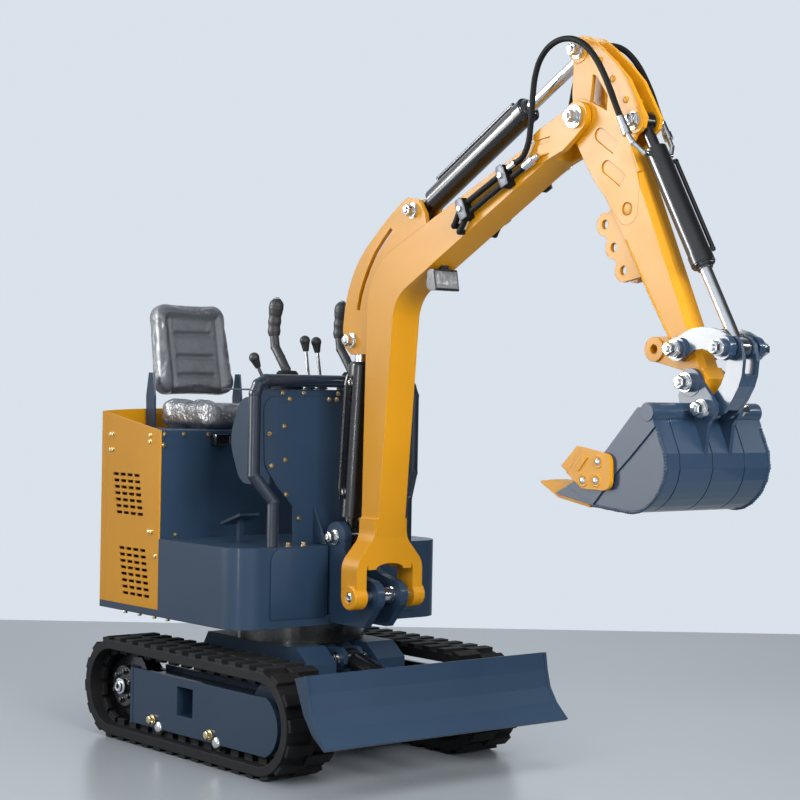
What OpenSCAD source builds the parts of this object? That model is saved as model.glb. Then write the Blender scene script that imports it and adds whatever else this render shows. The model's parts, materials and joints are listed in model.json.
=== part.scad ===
// Mini excavator on rubber tracks: undercarriage with blade, slewing house with seat and console,
// boom, arm, bucket and their cylinders. Millimetres; Z is up, the boom points to +X, Z = 0 is the ground.
// Side shapes are drawn in the XZ plane about the slew axis and then moved to the middle of the length.

/* [Tracks] */
// Height of the sprocket and idler centres
track_z = 163;          // [140:1:200]
// Radius of the belt without its lugs
belt_r = 151;           // [120:1:180]
// Thickness of the belt
belt_t = 28;            // [15:1:35]
// Width of one track
track_w = 180;          // [150:5:250]
// Sideways place of the middle of a track
track_y = 360;          // [300:5:450]
// Sprocket centre along the machine
sprocket_x = -413;      // [-500:1:-350]
// Idler centre along the machine
idler_x = 402;          // [350:1:500]
// Height of a ground lug
lug_h = 12;             // [6:1:20]
// Number of lugs in one row of one track
lug_count = 36;         // [24:1:48]
// Height of a guide lug inside the belt
guide_h = 18;           // [8:1:18]

/* [House] */
// Half of the width of the house
house_half = 408;       // [350:1:500]
// Underside of the house
house_z = 408;          // [380:1:450]
// Top of the floor boxes
floor_z = 654;          // [600:1:700]
// Front face of the floor boxes
house_front = 229;      // [150:1:300]
// Radius of the upright front corners
corner_r = 90;          // [20:5:150]
// Radius of the tail about the slew axis
tail_r = 690;           // [600:5:750]
// Front of the seat box
seat_box_x = -203;      // [-300:1:-150]
// Thickness of the sheet covers
sheet = 5;              // [3:1:8]
// Half of the gap in the front for the boom bracket
front_gap = 66;         // [50:1:100]

/* [Console] */
// Front face of the console panel
console_x = 150;        // [100:1:200]
// Top of the console panel
console_z = 1133;       // [1000:1:1200]
// Half of the width of the console panel
console_half = 262;     // [200:2:300]
// Diameter of the guard rail
rail_d = 38;            // [25:1:50]
// Sideways place of the joysticks
stick_y = 130;          // [90:5:160]

/* [Grilles] */
// Slots in a row of a grille
slot_columns = 4;       // [2:1:6]
// Rows of the upper grille
upper_rows = 7;         // [3:1:9]
// Rows of the lower grille
lower_rows = 8;         // [3:1:9]
// Width of a slot
slot_w = 34;            // [20:1:40]
// Height of a slot
slot_h = 9;             // [5:1:14]
// Distance between rows
row_pitch = 20.5;       // [16:0.5:26]

/* [Boom] */
// Boom foot pin
boom_foot = [422, 513];
// Boom cylinder base pin
boom_cyl_base = [254, 681];
// Boom cylinder rod pin
boom_cyl_end = [297, 1287];
// Arm cylinder base pin
arm_cyl_base = [577, 1669];
// Pivot of the arm at the boom tip
arm_pivot = [1269, 1878];
// Thumb bracket holes
thumb_holes = [[1359, 1587], [1393, 1525], [1429, 1463]];
// Half of the width of the boom box
boom_half = 52;         // [40:1:70]
// Half of the width of the boom fork
fork_half = 127;        // [110:1:150]
// Diameter of the hoses and of the lines along the boom
hose_d = 17;            // [12:1:20]

/* [Arm] */
// Arm cylinder rod pin
arm_cyl_end = [1255, 2060];
// Bucket cylinder base pin
bucket_cyl_base = [1466, 1851];
// Pivot of the rockers
rocker_pivot = [1655, 1255];
// Pivot of the bucket
bucket_pivot = [1690, 1172];
// Thumb boss
thumb_boss = [1544, 1256];
// Half of the width of the arm box
arm_half = 34;          // [28:1:44]
// Bore of the thumb boss and of the thumb bracket
thumb_bore = 25;        // [16:1:32]

/* [Bucket] */
// Rod eye of the bucket cylinder
rod_eye = [1803, 1259];
// Link pin on the bucket
link_pin = [1745, 1107];
// Half of the width of the bucket
bucket_half = 196;      // [150:1:250]
// Thickness of the bucket plates
bucket_t = 10;          // [6:1:16]
// Number of teeth
teeth_count = 4;        // [3:1:5]

/* [Blade] */
// Pivot of the blade arms
blade_pivot = [350, 215];
// Half of the width of the blade
blade_half = 464;       // [400:1:520]
// Base pin of the blade cylinder
blade_cyl_base = [255, 305];
// Rod pin of the blade cylinder
blade_cyl_end = [530, 238];

/* [Hidden] */
$fn = 48;
// Middle of the whole length, so that the origin is under the middle of the machine
frame_mid_x = 563;
belt_in = belt_r - belt_t;
track_len = 2 * (idler_x - sprocket_x) + 2 * PI * belt_r;
seat_top = 996;
deck_t = 22;
// Each lever: sideways place at its foot, and sideways place and height of its knob
lever_pts = [[-3, -25, 1284], [44, 20, 1281], [-168, -219, 1226]];
tail_x = sqrt(tail_r * tail_r - house_half * house_half);
seam_x = 33 - tail_x;
roller_x = [-155, 166];
roller_z = track_z - belt_in + 28.3;
plate_r = 92;
line_y = boom_half + 16;
// Lines clamped to the side of the boom: the one that feeds the loop and the capped one
upper_line = [[796, 1610], [826, 1662], [1039.5, 1765.8]];
lower_line = [[820, 1592], [856, 1642], [1089, 1759]];
clamp_x = [826, 994];
// Points of a hose that loops from the boom to the arm, with Y from the side of the boom
hose_route = [[1040, 16, 1766], [1078, 16, 1785], [1100, 17, 1820], [1110, 19, 1864], [1116, 21, 1910],
    [1122, 23, 1955], [1131, 25, 1998], [1150, 27, 2038], [1181, 28, 2068], [1221, 28, 2084],
    [1265, 28, 2084], [1307, 28, 2070], [1343, 28, 2043], [1373, 28, 2009], [1398, 28, 1971],
    [1420, 28, 1931], [1439, 27, 1891], [1456, 26, 1858]];
// Sideways places of the seams round the bucket
seam_y = [-142, -21, 100];
strip_t = 5;
seat_x = 90 - tail_r;
bucket_tube = [1687, 1096];
bucket_outer = [[1653, 1108], [1546, 996], [1440, 915], [1362, 880], [1500, 856], [1589, 848], [1638, 845],
    [1664, 851], [1686, 862], [1708, 880], [1723, 898], [1737, 925], [1745, 957], [1741, 996], [1712, 1062],
    [1690, 1110]];
bucket_inner = [[1640, 1130], [1668, 1078], [1698, 1052], [1729, 994], [1733, 959], [1726, 931], [1712, 906],
    [1698, 888], [1678, 873], [1658, 863], [1634, 857], [1590, 860], [1502, 868], [1340, 896], [1340, 1130]];
cheek_pts = [arm_cyl_end + [7, 38], arm_cyl_end + [-15, 23], arm_cyl_end + [-29, 2], arm_cyl_end + [-20, -42],
    [1232, 1944], [1238, 1902], [1250, 1812], [1281, 1763], [1325, 1700], [1362, 1660], [1410, 1600],
    [1425, 1585], [1444, 1580], [1466, 1587], [1480, 1604], [1487, 1681], [1474, 1726], [1460, 1760],
    [1453, 1790], [1470, 1815], [1497, 1832], [1504, 1858], [1474, 1908], [1441, 1963], [1392, 2012],
    [1331, 2063], arm_cyl_end + [35, 32]];
ring_z = 345;

paint = [0.93, 0.62, 0.10];
slate = [0.24, 0.27, 0.33];
black = [0.06, 0.06, 0.07];
rubber = [0.10, 0.10, 0.10];
chrome = [0.80, 0.81, 0.83];
seat_black = [0.13, 0.13, 0.14];

// A plate drawn in the XZ plane between two sideways places
module slab(pts, y0, y1) {
    translate([0, y1, 0]) rotate([90, 0, 0]) linear_extrude(y1 - y0) polygon(pts);
}

// A round bar along Y at a point of the XZ plane
module rod_y(c, d, y0, y1) {
    translate([c[0], y0, c[1]]) rotate([-90, 0, 0]) cylinder(d = d, h = y1 - y0);
}

// The same piece on both sides
module both() {
    children();
    mirror([0, 1, 0]) children();
}

// Runs along X from one point of the XZ plane to another
module along(a, b) {
    ang = atan2(b[1] - a[1], b[0] - a[0]);
    translate([a[0], 0, a[1]]) rotate([0, -ang, 0]) children();
}

function unit(v) = v / norm(v);

// Points of an arc that rounds the corner b
function fillet(a, b, c, r, n) = let (u = unit(a - b), v = unit(c - b), half = acos(u * v) / 2,
    m = b + unit(u + v) * r / sin(half), s = b + u * r / tan(half) - m, e = b + v * r / tan(half) - m,
    a0 = atan2(s[1], s[0]), da = (atan2(e[1], e[0]) - a0 + 540) % 360 - 180)
    [for (i = [0 : n]) m + r * [cos(a0 + da * i / n), sin(a0 + da * i / n)]];

// An outline whose corners are rounded by the radii r, where 0 keeps a corner sharp
function rounded(p, r, n = 6) = [for (i = [0 : len(p) - 1]) each r[i] == 0 ? [p[i]] :
    fillet(p[(i + len(p) - 1) % len(p)], p[i], p[(i + 1) % len(p)], r[i], n)];

function side_of(p, i) = let (t = unit(p[min(i + 1, len(p) - 1)] - p[max(i - 1, 0)])) [-t[1], t[0]];

// The outline of a strip of width w along the points p
function strip(p, w) = concat([for (i = [0 : len(p) - 1]) p[i] + side_of(p, i) * w / 2],
    [for (i = [len(p) - 1 : -1 : 0]) p[i] - side_of(p, i) * w / 2]);

function dist(a, b) = sqrt((b[0] - a[0]) * (b[0] - a[0]) + (b[1] - a[1]) * (b[1] - a[1]));

// A round bar along the X of along()
module bar_x(d, x0, x1) {
    translate([x0, 0, 0]) rotate([0, 90, 0]) cylinder(d = d, h = x1 - x0);
}

// A bent tube through points in space
module tube(pts, d) {
    for (i = [0 : len(pts) - 2]) {
        v = pts[i + 1] - pts[i];
        l = norm(v);
        translate(pts[i]) rotate([0, acos(v[2] / l), atan2(v[1], v[0])]) cylinder(d = d, h = l);
    }
    for (i = [1 : len(pts) - 2]) translate(pts[i]) sphere(d = d + 1.6);
}

// A tube swept through points in space, with flat ends and a given number of sides
module hose(p, d, sides) {
    n = len(p);
    ring = [for (i = [0 : n - 1]) let (t = unit(p[min(i + 1, n - 1)] - p[max(i - 1, 0)]),
        u = unit(cross(t, [0, 1, 0])), w = cross(u, t)) each [for (k = [0 : sides - 1])
        p[i] + d / 2 * (u * cos(360 * k / sides) + w * sin(360 * k / sides))]];
    walls = [for (i = [0 : n - 2], k = [0 : sides - 1]) let (a = i * sides + k,
        b = i * sides + (k + 1) % sides) [a, a + sides, b + sides, b]];
    polyhedron(ring, concat(walls, [[for (k = [0 : sides - 1]) k]],
        [[for (k = [sides - 1 : -1 : 0]) (n - 1) * sides + k]]));
}

// A place on the belt: distance along the loop gives the point and the turn
module on_belt(s) {
    run = idler_x - sprocket_x;
    bend = PI * belt_r;
    if (s < run) translate([sprocket_x + s, 0, track_z + belt_r]) children();
    else if (s < run + bend)
        translate([idler_x, 0, track_z]) rotate([0, (s - run) / belt_r * 180 / PI, 0])
            translate([0, 0, belt_r]) children();
    else if (s < 2 * run + bend)
        translate([idler_x - (s - run - bend), 0, track_z]) rotate([0, 180, 0])
            translate([0, 0, belt_r]) children();
    else
        translate([sprocket_x, 0, track_z]) rotate([0, 180 + (s - 2 * run - bend) / belt_r * 180 / PI, 0])
            translate([0, 0, belt_r]) children();
}

module loop(r, y0, y1) {
    rod_y([sprocket_x, track_z], 2 * r, y0, y1);
    rod_y([idler_x, track_z], 2 * r, y0, y1);
    translate([sprocket_x, y0, track_z - r]) cube([idler_x - sprocket_x, y1 - y0, 2 * r]);
}

module track() {
    pitch = track_len / lug_count;
    color(rubber) difference() {
        union() {
            difference() {
                loop(belt_r, track_y - track_w / 2, track_y + track_w / 2);
                loop(belt_in, track_y - track_w, track_y + track_w);
            }
            for (i = [0 : lug_count - 1]) {
                on_belt(i * pitch) translate([-18, track_y - track_w / 2 + 4, -3]) cube([36, 92, lug_h + 3]);
                on_belt((i + 0.5) * pitch) translate([-18, track_y + track_w / 2 - 96, -3])
                    cube([36, 92, lug_h + 3]);
                on_belt((i + 0.25) * pitch) translate([-20, track_y + 36, -belt_t - guide_h])
                    cube([40, 16, guide_h + 6]);
            }
        }
        translate([-1000, 0, -20]) cube([2000, 1000, 20]);
    }
}

module track_left() { track(); }
module track_right() { mirror([0, 1, 0]) track(); }

module track_frames() {
    nose = [idler_x - 14, track_z - 11];
    back = sprocket_x + 101;
    side = concat([[back, track_z + 75], [back + 6, track_z - 99]],
        [for (a = [-69 : 11.5 : 69]) nose + plate_r * [cos(a), sin(a)]]);
    color(slate) both() difference() {
        union() {
            slab(side, 416, 430);
            slab(side, 290, 304);
            translate([back - 4, 400, track_z - 101]) cube([12, 32, 178]);
            slab([[-285, 220], [-285, 100], [262, 100], [262, 220]], 300, 420);
            slab([[-300, 215], [-300, 110], [sprocket_x, 95], [sprocket_x, 231]], 290, 304);
            rod_y([sprocket_x, track_z], 170, 290, 304);
        }
        translate([-48, 200, 123]) cube([87, 300, 89]);
        for (x = roller_x) rod_y([x, roller_z], 44, 410, 440);
    }
}

module sprockets() {
    color(black) both() {
        rod_y([sprocket_x, track_z], 2 * belt_in - 8, 345, 375);
        rod_y([sprocket_x, track_z], 130, 304, 398);
        rod_y([sprocket_x, track_z], 56, 390, 412);
    }
}

module idlers() {
    color(slate) both() {
        rod_y([idler_x, track_z], 2 * belt_in - 0.6, 335, 385);
        rod_y([idler_x, track_z], 70, 304, 416);
    }
}

module rollers() {
    color(chrome) both() for (x = roller_x) {
        rod_y([x, roller_z], 56, 330, 390);
        rod_y([x, roller_z], 18, 304, 416);
        rod_y([x, roller_z], 43.4, 413, 424);
        rod_y([x, roller_z], 30, 420, 434);
    }
}

module centre_frame() {
    color(slate) difference() {
        union() {
            slab([[-240, 345], [-300, 250], [-300, 190], [-250, 140], [230, 140], [300, 190], [300, 300],
                [240, 345]], -190, 190);
            both() slab([[-240, 210], [-240, 100], [240, 100], [240, 210]], 180, 290);
        }
        slab([[150, 400], [180, 180], [400, 180], [400, 400]], -80, 80);
    }
    color(slate) both() difference() {
        slab([[290, 260], [290, 175], [345, 175], [385, 200], [385, 230], [345, 258]], 100, 122);
        rod_y(blade_pivot, 31, 90, 150);
    }
    color(slate) both() difference() {
        slab([[150, 335], [150, 265], [255, 268], [286, 290], [286, 320], [262, 338]], 24, 40);
        rod_y(blade_cyl_base, 25, 0, 80);
    }
}

module frame_pins() {
    color(chrome) {
        rod_y(blade_cyl_base, 25, -46, 46);
        both() rod_y(blade_cyl_base, 38, 40, 46);
    }
}

module slew_ring() {
    color(black) translate([0, 0, ring_z]) difference() {
        cylinder(r = 205, h = house_z - ring_z - 0.3);
        translate([0, 0, -1]) cylinder(r = 120, h = 200);
    }
}

module plan_outline(r) {
    difference() {
        intersection() {
            translate([-800, -r]) square([800 + house_front, 2 * r]);
            union() {
                circle(r = tail_r - (house_half - r), $fn = 180);
                translate([-200, -r]) square([800, 2 * r]);
            }
        }
        for (s = [-1, 1]) translate([house_front - corner_r, s * (r - corner_r)]) difference() {
            translate([0, s > 0 ? 0 : -corner_r - 1]) square(corner_r + 1);
            circle(r = corner_r);
        }
    }
}

module floor_deck() {
    color(slate) difference() {
        union() {
            translate([0, 0, house_z]) linear_extrude(deck_t) plan_outline(house_half);
            intersection() {
                translate([0, 0, house_z]) linear_extrude(floor_z - house_z) plan_outline(house_half);
                translate([seat_box_x, -500, 0]) cube([1000, 1000, 1000]);
            }
        }
        translate([60, -front_gap, house_z + 30]) cube([400, 2 * front_gap, 400]);
    }
}

module boom_bracket() {
    foot = [[70, 438], [229.5, 438], [236, 415], [400, 415], [463, 490], [467, 515], [455, 548], [422, 560],
        [370, 572], [330, 590], [300, 640], [297, 700], [254, 726], [214, 704], [190, 640], [70, 640]];
    color(slate) both() difference() {
        union() {
            slab(foot, 30, 58);
            rod_y(boom_foot, 96, 30, 58);
            rod_y(boom_cyl_base, 94, 30, 58);
        }
        rod_y(boom_foot, 44, 20, 70);
        rod_y(boom_cyl_base, 33, 20, 70);
    }
}

module house_pins() {
    color(chrome) {
        rod_y(boom_cyl_base, 33, -64, 64);
        both() rod_y(boom_cyl_base, 48, 58, 64);
    }
}

module side_covers() {
    side = [[seat_box_x, 430], [seat_box_x, seat_top], [seam_x, 1046], [seam_x, 430]];
    color(paint) both() difference() {
        slab(side, house_half - sheet, house_half);
        grille(seam_x + 40, 720, upper_rows);
        grille(seam_x + 82, 462, lower_rows);
    }
}

// Rows of slots through a side cover, each row a little further forward than the one above
module grille(x, z, rows) {
    for (i = [0 : rows - 1], j = [0 : slot_columns - 1])
        translate([x + (rows - 1 - i) * 4 + j * (slot_w + 8), house_half - sheet - 10, z + i * row_pitch])
            cube([slot_w, sheet + 20, slot_h]);
}

module rear_panel() {
    color(paint) intersection() {
        translate([0, 0, house_z + deck_t]) linear_extrude(700) difference() {
            plan_outline(house_half);
            plan_outline(house_half - sheet);
        }
        slab([[seam_x - 0.5, 400], [seam_x - 0.5, 1046], [seam_x - 28, 1050], [-tail_r - 70, 1062],
            [-tail_r - 70, 400]], -800, 800);
    }
}

module seat_box() {
    inner = house_half - sheet - 1;
    color(slate) {
        translate([seat_box_x - 6, -inner, floor_z - 200]) cube([6, inner * 2, seat_top - floor_z + 194]);
        difference() {
            translate([seat_x - 20, -inner, seat_top - 6]) cube([seat_box_x - seat_x + 20, 2 * inner, 6]);
            difference() {
                translate([-900, -800, 0]) cube([600, 1600, 2000]);
                cylinder(r = tail_r - 8, h = 3000, $fn = 180);
            }
        }
    }
}

module engine() {
    color(black) translate([seat_x, -220, house_z + deck_t]) cube([seat_box_x - seat_x - 57, 440, 480]);
}

module seat_cushion() {
    color(seat_black) translate([seat_x, -205, seat_top + 0.3]) cube([seat_box_x - seat_x - 47, 410, 92]);
}

module seat_back() {
    face = rounded([[-172, 0], [-154, 345], [154, 345], [172, 0]], [25, 55, 55, 25]);
    color(seat_black) translate([seat_x, 0, 1098]) rotate([0, -12, 0]) translate([-58, 0, 0])
        rotate([90, 0, 90]) linear_extrude(58) polygon(face);
}

module seat_hinge() {
    color(black) both() translate([seat_x, 0, 0]) slab([[-50, seat_top], [-2, seat_top], [-3, 1100],
        [-15, 1180], [-40, 1180], [-55, 1100]], 173.3, 181);
}

module console() {
    front = console_x - sheet;
    panel_top = console_z - 23;
    panel = rounded([[-console_half, panel_top], [-console_half + 6, 900], [-205, 830], [-146, 772],
        [-142, floor_z], [142, floor_z], [146, 772], [205, 830], [console_half - 6, 900],
        [console_half, panel_top]], [42, 70, 0, 20, 0, 0, 20, 0, 70, 42]);
    side = console_half + 34;
    cheek = rounded([[front, console_z - 25], [82, console_z - 25], [22, 975], [85, 842], [front, 842]],
        [0, 60, 110, 60, 0]);
    color(slate) {
        translate([front, 0, 0]) rotate([90, 0, 90]) linear_extrude(sheet) polygon(panel);
        both() {
            slab(cheek, side, side + sheet);
            translate([front - sheet, console_half - 30, 842])
                cube([sheet, side + sheet - console_half + 30, 240]);
        }
        translate([-10, -side - sheet, console_z - sheet]) cube([front + 10, 2 * (side + sheet), sheet]);
        translate([front - sheet, -side - sheet, console_z - 60]) cube([sheet, 2 * (side + sheet), 60]);
    }
}

module guard_rail() {
    foot = [206, 262];
    leg = [172, 312];
    top = 1160;
    path = [[foot[0], foot[1], floor_z], [foot[0], foot[1], 790], [leg[0], leg[1], 870],
        [leg[0], leg[1], 1118], [leg[0], leg[1] - 12, 1146], [leg[0], leg[1] - 40, top]];
    color(slate) tube(concat([for (p = path) [p[0], -p[1], p[2]]],
        [for (i = [len(path) - 1 : -1 : 0]) path[i]]), rail_d);
}

module joysticks() {
    path = [[88, 4], [79, 62], [49, 99], [20, 132], [12, 177], [15, 223], [22, 262]];
    color(black) both() translate([0, stick_y, console_z]) {
        tube([for (p = path) [p[0], 0, p[1]]], 29);
        translate([86, 0, 0]) cylinder(d1 = 92, d2 = 52, h = 56);
        translate([22, 0, 262]) sphere(d = 46);
    }
}

module levers() {
    color(chrome) difference() {
        for (p = lever_pts) {
            v = unit([p[1] - p[0], p[2] - console_z]);
            tube([[35, p[0] - 4 * v[0], console_z - 4 * v[1]], [35, p[1] - 30 * v[0], p[2] - 30 * v[1]]], 11);
        }
        translate([0, -400, console_z - 50]) cube([100, 800, 50]);
    }
}

module lever_knobs() {
    color(black) for (p = lever_pts) {
        v = unit([p[1] - p[0], p[2] - console_z]);
        translate([35, p[1], p[2]]) rotate([-atan2(v[0], v[1]), 0, 0]) translate([0, 0, -30]) {
            cylinder(d1 = 18, d2 = 32, h = 34);
            translate([0, 0, 34]) sphere(d = 33);
        }
    }
}

module pedals() {
    color(slate) both() translate([-20, 225, floor_z]) {
        translate([-8, -8, 0]) cube([16, 16, 70]);
        translate([0, 0, 66]) rotate([0, -18, 0]) translate([-55, -38, 0]) cube([110, 76, 8]);
    }
}

module boom() {
    box = rounded([[374, 690], [383, 1505], [1168, 1856], [1190, 1788], [510, 1410], [452, 690]],
        [0, 190, 0, 0, 110, 0], 10);
    rib = [[390, 1245], [290, 1243], [256, 1268], [247, 1321], [256, 1389], [273, 1445], [299, 1497],
        [325, 1534], [355, 1566], [400, 1605], [445, 1642], [513, 1690], [550, 1709], [600, 1700],
        [630, 1658], [640, 1610], [481, 1532], [410, 1456]];
    slot = strip([[321, 1379], [331, 1420], [347, 1460], [370, 1502], [400, 1546], [437, 1583],
        [477, 1618]], 16);
    tip = concat([[1130, 1760], [1166, 1778], [1168, 1790], [1126, 1779], [1122, 1811], [1172, 1822],
        [1171, 1834], [1121, 1828], [1089, 1832], [1128, 1857], [1225, 1897]],
        [for (a = [122 : -14 : -60]) arm_pivot + 42 * [cos(a), sin(a)]], [[1259, 1817], [1223, 1792]]);
    color(paint) difference() {
        union() {
            slab(box, -boom_half, boom_half);
            both() {
                difference() {
                    slab(rib, 24, 38);
                    slab(slot, 20, 42);
                }
                slab(tip, 38, boom_half + 4);
            }
            fork();
        }
        rod_y(boom_foot, 43, -200, 200);
        rod_y(boom_cyl_end, 33, -60, 60);
        rod_y(arm_cyl_base, 33, -60, 60);
        rod_y(arm_pivot, 43, -80, 80);
        slab([[1165, 1650], [1165, 2000], [1400, 2000], [1400, 1650]], -38, 38);
    }
}

module fork() {
    leg = rounded([[0, 748], [62, 748], [62, 690], [fork_half, 616], [fork_half, boom_foot[1]],
        [90, boom_foot[1]], [90, 604], [42, 668], [0, 668]], [0, 0, 60, 60, 0, 0, 40, 60, 0]);
    arch = concat([[0, 700], [60, 700], [84, 612], [84, 596], [54, 596]],
        [for (i = [1 : 8]) [54 * cos(i * 11.25), 596 + 18 * sin(i * 11.25)]]);
    both() {
        translate([376, 0, 0]) rotate([90, 0, 90]) linear_extrude(76) polygon(leg);
        for (x = [376, 438]) translate([x, 0, 0]) rotate([90, 0, 90]) linear_extrude(14) polygon(arch);
        rod_y(boom_foot, 76, 90, fork_half);
    }
}

module boom_pins() {
    color(chrome) {
        rod_y(boom_foot, 43, -fork_half - 6, fork_half + 6);
        rod_y(arm_cyl_base, 33, -44, 44);
        rod_y(arm_pivot, 43, -boom_half - 14, boom_half + 14);
        both() {
            rod_y(boom_foot, 62, fork_half, fork_half + 6);
            rod_y(boom_cyl_end, 33, 22, 44);
            rod_y(boom_cyl_end, 46, 38, 44);
            rod_y(arm_cyl_base, 46, 38, 44);
            rod_y(arm_pivot, 60, boom_half + 4, boom_half + 14);
        }
    }
}

// Lines that come out of the side of the boom and run through two clamps, the lower one with a cap
module boom_lines() {
    color(black) both() {
        for (l = [upper_line, lower_line]) tube(concat([[l[0][0], boom_half + 0.3, l[0][1]]],
            [for (p = l) [p[0], line_y, p[1]]]), hose_d);
        along(upper_line[1], upper_line[2]) for (x = clamp_x) {
            step = (x - upper_line[1][0]) / cos(26);
            translate([step, boom_half + 0.3, -46]) cube([24, line_y - boom_half + 12, 62]);
        }
        along(lower_line[1], lower_line[2]) translate([dist(lower_line[1], lower_line[2]) - 4, line_y, 0]) {
            bar_x(hose_d + 6, 0, 40);
            bar_x(hose_d - 2, 36, 58);
        }
    }
}

module hose_left() {
    color(rubber) hose([for (p = hose_route) p + [0, boom_half, 0]], hose_d, 10);
}

module hose_right() {
    last = len(hose_route) - 1;
    color(rubber) hose([for (i = [last : -1 : 0]) [hose_route[i][0], -hose_route[i][1] - boom_half,
        hose_route[i][2]]], hose_d, 10);
}

module work_lamp() {
    housing = rounded([[650, 1446], [656, 1490], [682, 1494], [694, 1430], [664, 1430]],
        [14, 6, 4, 4, 14], 3);
    face = [[681, 1488], [700, 1495], [700, 1425], [691, 1436]];
    color(black) {
        difference() {
            slab(housing, -46, 46);
            slab(face, -41, 41);
        }
        slab([[660, 1480], [660, 1492.9], [682, 1505.1], [682, 1480]], -14, 14);
    }
}

module boom_barrel() {
    l = dist(boom_cyl_base, boom_cyl_end);
    color(black) along(boom_cyl_base, boom_cyl_end) difference() {
        union() {
            rotate([-90, 0, 0]) translate([0, 0, -24]) cylinder(d = 66, h = 48);
            bar_x(46, 0, 80);
            bar_x(76, 62, l - 75);
        }
        rotate([-90, 0, 0]) translate([0, 0, -50]) cylinder(d = 34, h = 100);
        bar_x(40.6, 92, l);
    }
}

module boom_rod() {
    l = dist(boom_cyl_base, boom_cyl_end);
    color(chrome) along(boom_cyl_base, boom_cyl_end) {
        bar_x(40, 120, l - 10);
        translate([l, 0, 0]) rotate([-90, 0, 0]) translate([0, 0, -18]) cylinder(d = 62, h = 36);
    }
}

module arm_barrel() {
    l = dist(arm_cyl_base, arm_cyl_end);
    color(black) along(arm_cyl_base, arm_cyl_end) difference() {
        union() {
            rotate([-90, 0, 0]) translate([0, 0, -20]) cylinder(d = 62, h = 40);
            bar_x(39, 0, 80);
            bar_x(70, 62, 520);
            bar_x(76, 484, 516);
            tube([[104, 0, 30], [104, 0, 48], [470, 0, 48], [470, 0, 30]], 12);
        }
        rotate([-90, 0, 0]) translate([0, 0, -50]) cylinder(d = 34, h = 100);
        bar_x(34.6, 90, l);
    }
}

module arm_rod() {
    l = dist(arm_cyl_base, arm_cyl_end);
    color(chrome) along(arm_cyl_base, arm_cyl_end) {
        bar_x(34, 300, l - 10);
        translate([l, 0, 0]) rotate([-90, 0, 0]) translate([0, 0, -16]) cylinder(d = 58, h = 32);
    }
}

module arm() {
    box = [[1300, 1800], [1325, 1700], [1362, 1660], [1437, 1545], [1537, 1383], [1607, 1276], [1650, 1198],
        [1652, 1160], [1690, 1134], [1722, 1142], [1732, 1182], [1640, 1383], [1494, 1701], [1453, 1790]];
    lobe = [-12, -7];
    thumb = [[1440, 1640], thumb_holes[0] + [14, 36], thumb_holes[0] + lobe, thumb_holes[2] + lobe,
        thumb_holes[2] + [12, -29], [1510, 1448]];
    front = 20;
    color(paint) difference() {
        union() {
            difference() {
                union() {
                    slab(box, -arm_half, arm_half);
                    both() {
                        slab(thumb, 16, 28);
                        for (p = thumb_holes) rod_y(p, 62, 16, 28);
                    }
                }
                both() {
                    slab(cheek_pts, 22, 60);
                    along([1494, 1701], [1732, 1182]) translate([-20, arm_half, 0]) rotate([45, 0, 0])
                        translate([0, -front / 2, -front / 2]) cube([560, front, front]);
                }
            }
            rod_y(thumb_boss, 64, -30, 30);
            slab([[1544, 1288], [1544, 1224], [1650, 1200], [1610, 1290]], -24, 24);
            rod_y(rocker_pivot, 60, -42, 42);
            rod_y(bucket_pivot, 78, -36, 36);
        }
        rod_y(rocker_pivot, 35, -80, 80);
        rod_y(bucket_pivot, 36, -80, 80);
        rod_y(thumb_boss, thumb_bore, -80, 80);
        for (p = thumb_holes) rod_y(p, thumb_bore, -80, 80);
    }
}

module arm_cheeks() {
    window = [[1309, 1989], [1301, 1918], [1362, 1888], [1366, 1927], [1323, 1983]];
    pocket = concat([for (a = [56 : 20 : 236]) 18 * [cos(a), sin(a)]], [[50, -55], [70, -25]]);
    color(paint) both() difference() {
        union() {
            slab(cheek_pts, 22, arm_half);
            rod_y(arm_pivot, 100, 22, 36);
            rod_y(arm_cyl_end, 70, 22, 36);
            rod_y(bucket_cyl_base, 68, 22, 36);
        }
        rod_y(arm_pivot, 44, 0, 80);
        rod_y(arm_cyl_end, 33, 0, 80);
        rod_y(bucket_cyl_base, 33, 0, 80);
        slab(window, 0, 80);
        for (a = [[1338, 1826], [1366, 1738]]) slab([for (p = pocket) a + p], arm_half - 4, 80);
        rod_y([1444, 1623], 36, arm_half - 4, 80);
    }
}

module arm_pins() {
    color(chrome) {
        rod_y(bucket_cyl_base, 33, -42, 42);
        rod_y(rocker_pivot, 35, -78, 78);
        both() {
            rod_y(arm_cyl_end, 33, 18, 42);
            rod_y(arm_cyl_end, 46, 36, 42);
            rod_y(bucket_cyl_base, 46, 36, 42);
            rod_y(rocker_pivot, 46, 68, 78);
        }
    }
}

module bucket_barrel() {
    l = dist(bucket_cyl_base, rod_eye);
    color(black) along(bucket_cyl_base, rod_eye) difference() {
        union() {
            rotate([-90, 0, 0]) translate([0, 0, -17]) cylinder(d = 58, h = 34);
            bar_x(33, 0, 100);
            bar_x(60, 88, 440);
            bar_x(64, 408, 436);
            tube([[128, 26, 8], [128, 44, 14], [396, 44, 14], [396, 26, 8]], 12);
        }
        rotate([-90, 0, 0]) translate([0, 0, -50]) cylinder(d = 34, h = 100);
        bar_x(32.6, 100, l);
    }
}

// End fittings of the hoses, beside the pin, with a short line into the barrel
module hose_ends() {
    side = boom_half + 26;
    color(chrome) both() along(bucket_cyl_base, rod_eye) {
        translate([0, side, -5]) bar_x(hose_d + 4, -10, 26);
        translate([0, side, -5]) bar_x(hose_d + 9, 24, 44);
        tube([[40, side, -5], [70, side - 4, -3], [102, 50, 0], [102, 30.3, 0]], 14);
    }
}

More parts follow.
